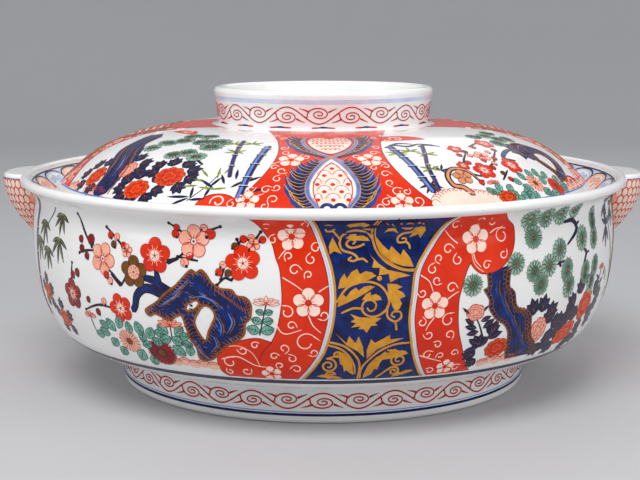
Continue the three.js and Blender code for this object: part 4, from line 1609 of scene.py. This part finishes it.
def teardrop(p):
    """Pale shell pattern inside the teardrop, and the small blue bows at its foot."""
    p.fill("white", BELOW, joined(SHELL, mirrored(SHELL)[::-1]))
    inner = [(PANEL_AXIS, 49.2), (3.4, 52.8), (4.6, 57), (5.5, 61.6), (5.8, 65.6), (5.5, 69.8), (4.7, 74.4)]
    p.fill("pale", SHAPE, joined(inner, mirrored(inner)[::-1]))
    for row, (s, offsets) in enumerate(
        (
            (53.8, (0,)), (58.3, (-1.7, 1.7)), (63.5, (0, -3.1, 3.1)), (67.4, (-1.7, 1.7)),
            (71.6, (0, -2.9, 2.9)),
        )
    ):
        for offset in offsets:
            place = (PANEL_AXIS + offset, s)
            half = 2.9 if abs(offset) < 2 else 1.7
            p.disc("white", OVER, p.near(place, [(0, 1.4)])[0], half * 0.6, 1.5)
            p.line("line_red", DETAIL, place, arc_points((0, 0), (half, 3.3), 10, 170, 12), 0.22)
            for angle in (35, 62, 90, 118, 145):
                if half > 2 or 60 < angle < 120:
                    p.line("line_red", DETAIL, place, [polar(1.3, angle), polar(2.5, angle)], 0.12)
            p.disc("red", TOP, place, 0.95, 0.85, points=10)
    for side in (inner, mirrored(inner)):
        p.stroke("red", DETAIL, side, 0.45)
    for way in (-1, 1):
        bow = arc_points((way * 2.5, -0.6), (2.2, 2.4), 190 if way < 0 else -10, 0 if way < 0 else 180, 10)
        p.line("navy", DETAIL, (PANEL_AXIS, 75.6), bow, 1.5)
        p.line("royal", TOP, (PANEL_AXIS, 75.6), bow, 0.8)


def heart(p):
    """Pale heart with rows of red scales."""
    edge = [
        (PANEL_AXIS, 42), (3.6, 40.6), (6.2, 36.6), (8, 31.6), (8.7, 26), (7.6, 21.6), (4.6, 20.4),
        (PANEL_AXIS, 22.4),
    ]
    p.fill("pale", SHAPE, joined(edge, mirrored(edge)[::-1]))
    for row in range(5):
        s = 37.6 - 3.4 * row
        half = 1.6 + row
        for i in range(int(half) + 1):
            theta = PANEL_AXIS + (i - int(half) / 2) * 2.5
            p.line("line_red", DETAIL, (theta, s), arc_points((0, 0), (1.9, 1.8), 0, 180, 8), 0.32)
            p.disc("red", DETAIL, p.near((theta, s), [(0, 0.4)])[0], 0.55, points=8)
    for side in (edge, mirrored(edge)):
        p.stroke("line_red", DETAIL, side, 0.4)


def wings(p, inner, count, reach):
    """Feathers with gold edges that fan out from a ribbon, in pointed lobes of three, on both sides."""
    for flip in (False, True):
        line = joined(mirrored(inner) if flip else inner)
        way = -1 if flip else 1
        places = np.linspace(0.1, 0.98, count)
        spots = np.column_stack(
            [np.interp(places, np.linspace(0, 1, len(line)), line[:, i]) for i in (0, 1)]
        )
        for i, (theta, s) in enumerate(spots):
            swell = math.sin(math.pi * min(0.5, 0.1 + 0.9 * i / count)) ** 0.8
            far = reach * (0.12 + 0.88 * swell) * (1, 0.93, 0.86)[i % 3]
            rise = 3.6 * swell
            feather = [
                (way * 0.9, -0.8), (way * far * 0.4, -1.8 * swell), (way * far * 0.78, 0.1),
                (way * far, rise),
            ]
            p.stroke(
                "royal", BELOW, p.near((theta, s), feather), [1.2, 1.4 + 1.8 * swell, 1 + 2 * swell, 0.3],
            )
            shadow = [(x * 0.72, y * 0.8 - 0.9) for x, y in feather]
            p.stroke("navy", SHAPE, p.near((theta, s), shadow), [1, 1.5, 1.1, 0.2])
            p.stroke(
                "gold", OVER, p.near((theta, s), [(x, y + 0.7) for x, y in feather]), [0.16, 0.34, 0.3],
            )


def lobe(p, centre, half, tall):
    """Half-disc of red ground with one large scroll, against the line round the lid's edge."""
    outline = arc_points(centre, (half, -tall), 0, 180, 15)
    p.fill("red", GROUND, outline)
    p.stroke("dark_red", BELOW, outline, 0.35)
    curl = [polar(3.4 * (1 - 0.07 * i), 200 - 36 * i) for i in range(11)]
    p.stroke("pale", SHAPE, p.near(centre, np.array(curl) + [0, 3]), [0.5, 0.7, 0.7])


LID_TRUNK = [(-51.4, 75), (-51.8, 66), (-53, 59), (-56.4, 51.6), (-60.4, 45), (-62, 38), (-63, 32)]


def lid_left_scene(p):
    """Peonies, pine and bamboo between the front panel and the one on the left."""
    p.stroke("cobalt", SHAPE, LID_TRUNK, [10, 14, 15, 13, 9])
    for way in (-1, 1):
        p.stroke("ochre", OVER, shifted(p, LID_TRUNK, way * 6.2), [0.5, 1.1, 0.8, 0.4])
        p.stroke("navy", OVER, shifted(p, LID_TRUNK, way * 4), [0.5, 2, 0.5])
        p.stroke("ochre", DETAIL, shifted(p, LID_TRUNK, way * 1.8)[1:5], [0.1, 0.4, 0.1])
    p.stroke("blue", OVER, LID_TRUNK[1:4], [0.2, 1, 0.2])
    lobe(p, (-56, 24), 7, 6)
    bamboo(
        p, [(-16.5, 71.5), (-16, 58), (-15.3, 34.6)], 2.8,
        [(-16.2, 65), (-16, 60), (-15.8, 51), (-15.5, 43), (-15.4, 37)],
    )
    bamboo(
        p, [(-20.1, 60), (-21.9, 47), (-24.6, 28.4)], 1.7, [(-21, 53), (-22.4, 44), (-23.6, 36)], "royal",
    )
    for theta, s, radius, tall in (
        (-51.4, 43.4, 4.6, 3.6), (-49.3, 37, 5.6, 3.2), (-45, 32.8, 4.6, 3.6), (-46, 26.5, 4.4, 3.6),
        (-40, 47.5, 4, 3.4), (-36.7, 44.6, 4.4, 3.6), (-32.4, 47.5, 4.4, 3.6), (-32, 37.2, 5.2, 4.2),
        (-32, 31.5, 5.2, 4.2), (-37.5, 32.8, 4.4, 3.6), (-40, 25, 4.2, 3.4),
    ):
        needles(p, (theta, s), radius * 1.15, tall * 1.05)
    branch(p, [(-28.6, 53), (-31.4, 49.6), (-34.4, 45.4)], [1, 1.4, 1])
    branch(p, [(-34.8, 39), (-36.8, 33), (-39, 27)], [1.2, 1.6, 1])
    for theta, s, turn, size in (
        (-24.4, 64.6, 150, 7), (-22.6, 63.4, 60, 5), (-29.4, 72.4, 185, 8), (-28.6, 74.6, 210, 6),
        (-25, 73, 10, 5.4), (-26.8, 69.6, 100, 5), (-18.7, 58.4, 100, 5), (-21.3, 61.6, 120, 5),
        (-17.6, 64, 40, 5), (-23.4, 68.8, 80, 4.6), (-14.6, 61, 30, 5), (-13.2, 67, 20, 4.6),
    ):
        leaf(p, (theta, s), size * 1.3, 1.5, turn, "navy")
    for theta, s, turn in (
        (-26.4, 63, 170), (-26.4, 58.4, 140), (-23, 57.8, 100), (-24.2, 67, 175), (-21.3, 67, 10),
        (-28, 66.4, 10), (-21, 55, 70),
    ):
        leaf(p, (theta, s), 7, 1.3, turn, "olive", "dark_green")
    branch(p, [(-27, 74), (-24.2, 66), (-22.6, 58)], 0.4, "dark_green")
    for theta, s in ((-23, 41), (-20.6, 32), (-26, 33)):
        leaf_star(
            p, (theta, s), [(5, 200), (5, 160), (4.6, 20), (4.4, -20), (4, 90)], "olive", 1.2, "dark_green",
        )
    for theta, s, wide, tall, fill in (
        (-41, 70.6, 13, 10, "red"), (-34.6, 62, 14.5, 11, "red"), (-58.4, 67.4, 11, 11, "red"),
        (-48.6, 60.8, 8, 9.6, "pink"),
    ):
        peony(p, (theta, s), wide, tall, 0, fill, "gold" if fill == "red" else "line_red")
    for theta, s, turn in (
        (-45.4, 71, 190), (-43.9, 74.4, 240), (-41, 75.2, 280), (-37.4, 73.6, 310), (-36, 70, 350),
        (-44.9, 66.6, 160), (-42.6, 63.6, 110), (-37.6, 64.4, 60), (-39.4, 60.4, 180), (-39.6, 56.4, 150),
        (-36.4, 54, 110), (-32.6, 54.4, 60), (-30.2, 57.6, 20), (-29.6, 62, -10), (-31, 66.6, -50),
        (-45.4, 60.3, 0), (-45.8, 56, 30), (-49.3, 53.4, 90), (-49.8, 65.8, 260), (-46.6, 64, -40),
        (-63.4, 67.5, 180), (-62.3, 62, 140), (-59.2, 59.6, 90), (-55.6, 61.4, 40), (-56.6, 72.8, 290),
        (-61.4, 72.6, 240),
    ):
        peony_leaf(p, (theta, s), 6.4, turn)
    scallops(p, [(-57.4 + 1.7 * i, 75.4 - (i % 2) * 1.2) for i in range(5)], "peach", "line_red", 2.5)
    scallops(p, [(-66.4 + 1.7 * i, 75.4 - (i % 2) * 1.2) for i in range(4)], "peach", "line_red", 2.5)


def lid_right_scene(p):
    """Plum, bamboo and a rock between the front panel and the one on the right."""
    bamboo(
        p, [(22.3, 68.6), (21.4, 62.2), (20, 48.4), (18.6, 35.3)], 2.8,
        [(21.2, 60.5), (20.4, 53), (19.8, 46), (19, 39)],
    )
    bamboo(
        p, [(23.6, 68), (24, 54.7), (25.7, 46), (28.2, 36)], 1.7, [(23.8, 60), (24.4, 52.6), (26, 44)],
        "royal",
    )
    leaf_star(
        p, (22.4, 64.4), [(6, 200), (6.4, 235), (5.6, -30), (5, -70), (5, 150), (4.4, 30)], "navy", 1.4,
    )
    leaf_star(p, (26.6, 57), [(5.4, 10), (5, -40), (5, 60), (4, 120)], "navy", 1.2)
    for theta, s in ((24.5, 55.5), (23, 40.3), (19, 42), (27, 44)):
        leaf_star(
            p, (theta, s), [(5, 200), (5, 160), (4.6, 20), (4.4, -20), (4, 90)], "olive", 1.2, "dark_green",
        )
    for path in (
        [(17, 36), (20, 33.6), (24, 35.4), (28, 33.4), (32, 35)], [(18.6, 34), (22, 31.6), (26, 33)],
        [(27, 36), (30, 34.8), (33.6, 37)],
    ):
        branch(p, path, [0.8, 1.4, 0.6], "navy")
    mound(p, [(21.8, 76.4), (22, 73), (24, 70), (27.4, 69.4), (31, 70.4), (34, 72), (37, 74.4), (39, 76.4)])
    loop = [
        (30.8, 71), (29.3, 67.2), (27.5, 66), (27.2, 61), (29, 56.8), (31.5, 56.5), (33.6, 59.7),
        (34.3, 64),
    ]
    branch(p, loop + [(35.4, 64.7)], [3.2, 3, 2.6, 2, 1.2], "ink")
    p.stroke("tan", OVER, loop, [1.6, 1.4, 1.2, 0.8, 0.3])
    for path in (
        [(32.9, 57), (35, 51), (38.3, 45.3)],
        [(41, 65.3), (42.6, 63), (44.7, 60.3)],
        [(43.6, 53.6), (46, 50), (49.4, 46)],
        [(33.6, 60), (35.8, 62), (37, 61)],
        [(39, 58), (41.4, 56), (44.4, 53)],
        [(42.9, 39.6), (45, 38.6), (48.6, 36.8)],
    ):
        branch(p, path, [0.7, 1.1, 0.6])
    for theta, s, radius, kind in (
        (30.9, 61.5, 4.4, "tan"), (37.9, 58.8, 5.2, "red"), (47.8, 57.6, 5.2, "red"),
        (33.3, 54.7, 3, "red"), (50.8, 38.4, 4.6, "red"), (42, 49, 4, "pink"), (37, 41, 3.6, "red"),
    ):
        plum(p, (theta, s), radius, kind)
    for theta, s, kind in (
        (35.6, 52.8, "red"), (40.8, 52.2, "red"), (45, 51.6, "red"), (46, 46.2, "pink"),
        (35.6, 46.5, "red"), (38.6, 47.6, "pink"), (43.3, 65.3, "red"), (42.6, 61.6, "olive"),
        (43, 55, "pink"), (41.2, 57.6, "red"), (49.6, 45, "red"), (38.8, 44, "olive"), (44, 40.6, "red"),
        (34.6, 65.6, "red"),
    ):
        bud(p, (theta, s), 1.35, kind, 90)
    peony(p, (39, 74.6), 10, 7)
    lotus(p, (37.6, 66.4), 7, fill="pink")
    for theta, s, turn in (
        (41, 73.4, 20), (42, 76, -20), (46.5, 71, 150), (51.9, 74.4, 200), (50.8, 64, 90), (53.6, 68.4, 60),
        (59.3, 69.6, 40), (45.6, 75, 210), (54.6, 76, 180), (59.6, 75, 340),
    ):
        veined_leaf(p, (theta, s), 2.5, turn)
    for theta, s, turn in (
        (44.6, 67, 140), (47.4, 64.6, 110), (53.4, 63.8, 60), (56, 66, 40), (45.4, 72.8, 200),
        (47.4, 75.4, 240), (52.6, 76, 280), (60.6, 73, 0), (44, 74.4, 0), (35.6, 70.6, 130), (41, 70, 50),
        (38.2, 68.8, 90), (36.8, 71.4, 160),
    ):
        veined_leaf(p, (theta, s), 2.2, turn)
    daisy(p, (50, 69.4), 4.6, 14, "pink", "line_red", "brown")
    daisy(p, (56.8, 73), 5, 14, "red", "dark_red", "brown")
    lid_rock(p)
    branch(
        p, [(58, 47.4), (54.8, 47), (51, 49), (48.4, 52.4), (51.2, 55)], [1.4, 2.2, 2.4, 2, 1], "ink",
        "cobalt",
    )
    for theta, s, radius, tall in (
        (57, 40, 4.6, 3.6), (62, 37, 4.6, 3.6), (66.6, 38.4, 4.4, 3.6), (60, 31, 4.6, 3.6),
        (54, 30, 4.2, 3.4), (66, 29, 4.2, 3.4),
    ):
        needles(p, (theta, s), radius, tall)
    scallops(p, [(62.4 + 1.7 * i, 75.4 - (i % 2) * 1.2) for i in range(7)], "peach", "line_red", 2.4)
    lobe(p, (24, 27.5), 9, 8)


def lid_rock(p):
    """Blue rock with a window in it and a spiky mass at its left."""
    rock = [
        (59, 44.8), (62, 42.4), (66, 43.2), (68.6, 47.4), (71.2, 53.6), (71, 60.4), (68.4, 66.4),
        (64.6, 71), (61.2, 71), (61.6, 66.4), (60.6, 61), (59.8, 55.4), (57.2, 51.4), (57.4, 47.4),
    ]
    window = [(62, 56.4), (63.6, 53.2), (66.4, 53.8), (67.8, 58), (66.4, 62.8), (63.8, 65.6), (62.8, 61)]
    bark(p, rock, [window], 0.5)
    for path in (
        [(60, 48), (63, 45.4), (66.4, 46.6)], [(69, 53), (69.6, 59), (67.6, 65)],
        [(60.4, 53), (61.4, 59), (62.4, 68)],
    ):
        p.stroke("blue", DETAIL, path, [0.3, 0.9, 0.3])
        p.stroke("ochre", DETAIL, moved(path, 0.5), [0.2, 0.5, 0.2])
    p.fill("cobalt", OVER, [
        (56.6, 44), (58.4, 43.6), (59.6, 41.6), (61, 43), (63.4, 42.6), (63.8, 45), (65.4, 46.8),
        (64, 49.4), (65, 52), (63, 53.4), (62.6, 56.6), (60.8, 54.6), (59.4, 57.4), (58.2, 54.4),
        (56.2, 55.6), (56.6, 51.6), (55, 49), (56.8, 46.8),
    ])
    for path in (
        [(57, 45), (57.8, 49), (57, 54)], [(63.6, 44), (63, 49), (62.4, 55)],
        [(60.4, 44.6), (60.8, 48), (60.2, 51)],
    ):
        p.stroke("ochre", DETAIL, path, [0.3, 0.8, 0.3])
    for theta, s in ((58.8, 46.4), (59.4, 51.6), (62, 46.6), (61.6, 51.4)):
        p.patch("navy", DETAIL, (theta, s), almond(4, 1.8), 80)
    p.stroke("ink", DETAIL, [(60.6, 56), (61.2, 61), (61.8, 65), (62.8, 69)], [1.2, 1.9, 1.7, 1])
    p.patch("blue", DETAIL, (65.6, 67.8), almond(4.4, 2), 120)


def paint_lid():
    """All that is painted on the lid: the scenes twice round, the red panels four times."""
    p = Painter("lid", "lid", lid_surface, up=-1)
    lid_left_scene(p)
    lid_right_scene(p)
    for theta in (-20.4, 66.8):
        lobe(p, (theta, LID_LINE), 4.4, 7)
    p.repeats = 4
    lid_panel(p)
    medallion(p)
    p.repeats = 1
    p.band("blue", SHAPE, LID_LINE + 0.2, LID_LINE + 0.8)
    p.finish()


# ---- Bands of scrollwork and the rest ---------------------------------------------------------------
def scroll_band(p, start, spacing, middle, height, width):
    """Running scroll: a waving vine with a spiral curled into each bend and two small leaves on it."""
    place = (start, middle)
    wave = [(x * spacing, height / 2 * math.cos(math.pi * x)) for x in np.linspace(-1, 1, 25)]
    p.line("line_red", SHAPE, place, wave, width)
    coil = [(-0.5, 0.0), (-0.43, 0.09)]
    count = 44
    for i in range(count):
        t = i / (count - 1)
        x, y = polar(1 - 0.88 * t**0.65, 160 + 720 * t)
        coil.append((0.01 + 0.4 * x, -0.08 + 0.48 * y))
    right_leaf = [(0.3, -0.2), (0.4, -0.3), (0.56, -0.42)]
    left_leaf = [(-0.3, -0.22), (-0.44, -0.34), (-0.6, -0.42)]
    for centre, way in ((0, 1), (spacing, -1)):
        bends = [
            [(centre + x * spacing, way * y * height) for x, y in path]
            for path in (coil, right_leaf, left_leaf)
        ]
        p.line("line_red", SHAPE, place, bends[0], [width, width * 0.9, width * 0.9], step=0.5)
        for path in bends[1:]:
            p.line("line_red", SHAPE, place, path, [width * 1.5, width, width * 0.3])


def base_dashes(p, count):
    """Short blue strokes with red ends round the foot of the grip ring."""
    p.repeats = count
    p.line("cobalt", SHAPE, (0, 0.75), [(-3, 0), (0, 0.2), (3, 0)], [0.4, 0.8, 0.4])
    for way in (-1, 1):
        p.line("red", SHAPE, (0, 0.7), [(way * 2.6, 0), (way * 5, 0)], [0.9, 0.5])


def paint_bands():
    """Scrollwork round the foot and the grip ring, and the petals inside the rim."""
    foot = Painter("foot", "bowl", foot_surface)
    foot.band("cobalt", SHAPE, 2.4, 3.5)
    foot.band("blue", SHAPE, 4.0, 4.3)
    foot.repeats = 20
    scroll_band(foot, 0, math.pi * FOOT / foot.repeats, 9.0, 6.8, 0.65)
    foot.finish()
    grip = Painter("grip", "lid", grip_surface)
    grip.band("lavender", SHAPE, 11.4, 13.2)
    grip.repeats = 11
    scroll_band(grip, 14.2, math.pi * (GRIP - 1.4) / grip.repeats, 6.2, 7.4, 0.5)
    base_dashes(grip, 16)
    grip.finish()
    rim = Painter("rim", "bowl", slope_surface)
    rim.band("lavender", GROUND, 1.1, 11.4)
    rim.band("navy", SHAPE, 11.3, 12.1)
    rim.band("line_red", SHAPE, 0.7, 1.1)
    rim.repeats = 18
    lappets(rim)
    rim.finish()


def lappets(p):
    """Broad rounded petals, peach and blue-grey in turn, with dark outlines and red tongues between."""
    half = 180 / p.repeats / 2
    for centre, fill, shade, mark in (
        (13, "peach", "pale", "red"), (13 + 2 * half, "lavender", "white", "blue"),
    ):
        petal = [
            (-0.97, 1), (-1, 5.4), (-0.9, 8.6), (-0.55, 10.4), (0, 11), (0.55, 10.4), (0.9, 8.6), (1, 5.4),
            (0.97, 1),
        ]
        places = [(centre + x * half, v) for x, v in petal]
        inner = [(centre + x * half * 0.74, 1 + (v - 1) * 0.84) for x, v in petal]
        p.fill(fill, BELOW, joined(places))
        p.fill(shade, SHAPE, joined(inner))
        p.stroke("ink", OVER, places, 0.9)
        for share in (-0.45, 0, 0.45):
            p.disc(fill, OVER, (centre + share * half, 6.6 - 2 * abs(share)), 2.1, 1.6)
            p.ring(mark, DETAIL, (centre + share * half, 6.6 - 2 * abs(share)), 2.1, 0.24, 1.6)
        p.stroke(mark, DETAIL, [(centre, 1.2), (centre - 0.5, 3), (centre, 4.6)], [0.3, 0.8, 0.3])
        tongue = (centre + half, 3.4)
        p.patch("red", DETAIL, tongue, almond(6.2, 2.4), 90)
        p.patch("gold", TOP, tongue, almond(3.4, 1.0), 90)


def paint_handle(name, turn):
    """Pale scales in a red net below the handle's white edge."""
    p = Painter(name, "bowl", HandleSurface(turn), repeats=1)
    low, high = 28, 2.6
    p.fill("pink", GROUND, [(-76, high), (76, high), (78, low), (-78, low)], cell=1.6)
    p.stroke("blue", SHAPE, [(x, high - 0.5) for x in range(-76, 77, 8)], 0.4, straight=True)
    pitch, rise = 8.4, 3.6
    for row in range(7):
        for column in range(-10, 11):
            theta = column * pitch + (pitch / 2 if row % 2 else 0)
            v = high + 1.9 + row * rise
            if abs(theta) < 74 and v < low - 1.4:
                p.disc("pale", SHAPE, (theta, v), 1.65, 1.75, points=10)
                arch = arc_points((0, -0.2), (1.9, 2.15), -200, 20, 9)
                p.line("line_red", OVER, (theta, v), arch, [0.22, 0.36, 0.22])
    p.finish()


# ---- Build ----------------------------------------------------------------------------------------
turned_piece("bowl_wall", bowl_profile(), "bowl", PORCELAIN, "bowl_body")
turned_piece("foot_ring", foot_profile(), "bowl", PORCELAIN, "bowl_foot_ring")
turned_piece("lid_shell", lid_profile(), "lid", PORCELAIN, "lid_dome")
turned_piece("grip_ring", grip_profile(), "lid", PORCELAIN, "lid_grip_ring")
handle_piece("lug_right", False, PORCELAIN, "handle_right")
handle_piece("lug_left", True, PORCELAIN, "handle_left")
paint_wall()
paint_lid()
paint_bands()
paint_handle("lug_right", 0)
paint_handle("lug_left", 180)


# ---- Stage: pale floor, soft studio lights and the camera -------------------------------------------
def backdrop():
    """Plain pale floor that curves up into a round wall, so that no horizon shows."""
    flat, bend, top = 1.25, 0.6, 1.9
    outline = [(0, 0), (flat / 2, 0)] + arc_points(
        (flat, bend), (bend, bend), 270, 360, 16,
    ) + [(flat + bend, top)]
    segments = 96
    vertices = [(0, 0, 0)]
    for r, z in outline[1:]:
        vertices += [
            (r * x, r * y, z)
            for x, y in arc_points((0, 0), (1, 1), 0, 360 - 360 / segments, segments)
        ]
    faces = [(0, 1 + i, 1 + (i + 1) % segments) for i in range(segments)]
    for ring in range(len(outline) - 2):
        start = 1 + ring * segments
        for i in range(segments):
            j = (i + 1) % segments
            faces.append((start + i, start + segments + i, start + segments + j, start + j))
    mesh = bpy.data.meshes.new("floor")
    mesh.from_pydata(vertices, [], faces)
    mesh.polygons.foreach_set("use_smooth", np.ones(len(faces), bool))
    material = bpy.data.materials.new("floor")
    material.use_nodes = True
    shader = material.node_tree.nodes["Principled BSDF"]
    shader.inputs["Base Color"].default_value = srgb(196, 196, 198)
    shader.inputs["Roughness"].default_value = 0.7
    mesh.materials.append(material)
    ground = bpy.data.objects.new("floor", mesh)
    bpy.context.scene.collection.objects.link(ground)


def area_light(name, place, target, size, power):
    """Round soft lamp at a place, pointed at a target."""
    data = bpy.data.lights.new(name, "AREA")
    data.shape = "DISK"
    data.size = size
    data.energy = power
    lamp = bpy.data.objects.new(name, data)
    lamp.location = place
    lamp.rotation_euler = (Vector(target) - Vector(place)).to_track_quat("-Z", "Y").to_euler()
    bpy.context.scene.collection.objects.link(lamp)


def world_light(strength):
    """Even, slightly cool light from all round."""
    world = bpy.data.worlds.new("studio")
    world.use_nodes = True
    background = world.node_tree.nodes["Background"]
    background.inputs["Color"].default_value = (0.9, 0.92, 0.95, 1)
    background.inputs["Strength"].default_value = strength
    bpy.context.scene.world = world


def camera():
    """Camera at the photo's viewing angle, as fitted to the rim, foot and grip ring in the photo."""
    data = bpy.data.cameras.new("camera")
    data.lens = 77.5
    data.sensor_width = 36
    data.dof.use_dof = False
    eye = bpy.data.objects.new("camera", data)
    eye.location = (0, -0.647, 0.1668)
    eye.rotation_euler = (math.radians(90 - 9.188), 0, math.radians(0.137))
    bpy.context.scene.collection.objects.link(eye)
    bpy.context.scene.camera = eye


backdrop()
area_light("key", (-0.15, -0.75, 1.0), (0, 0, 0.05), 0.7, 9)
area_light("fill_right", (0.9, -0.6, 0.5), (0, 0, 0.06), 0.8, 3.5)
area_light("fill_left", (-1.0, -0.4, 0.5), (0, 0, 0.06), 0.8, 2.5)
area_light("back", (0.2, 1.0, 0.9), (0, 0, 0.08), 0.9, 1.5)
world_light(0.6)
camera()
bpy.context.scene.view_settings.view_transform = "Standard"
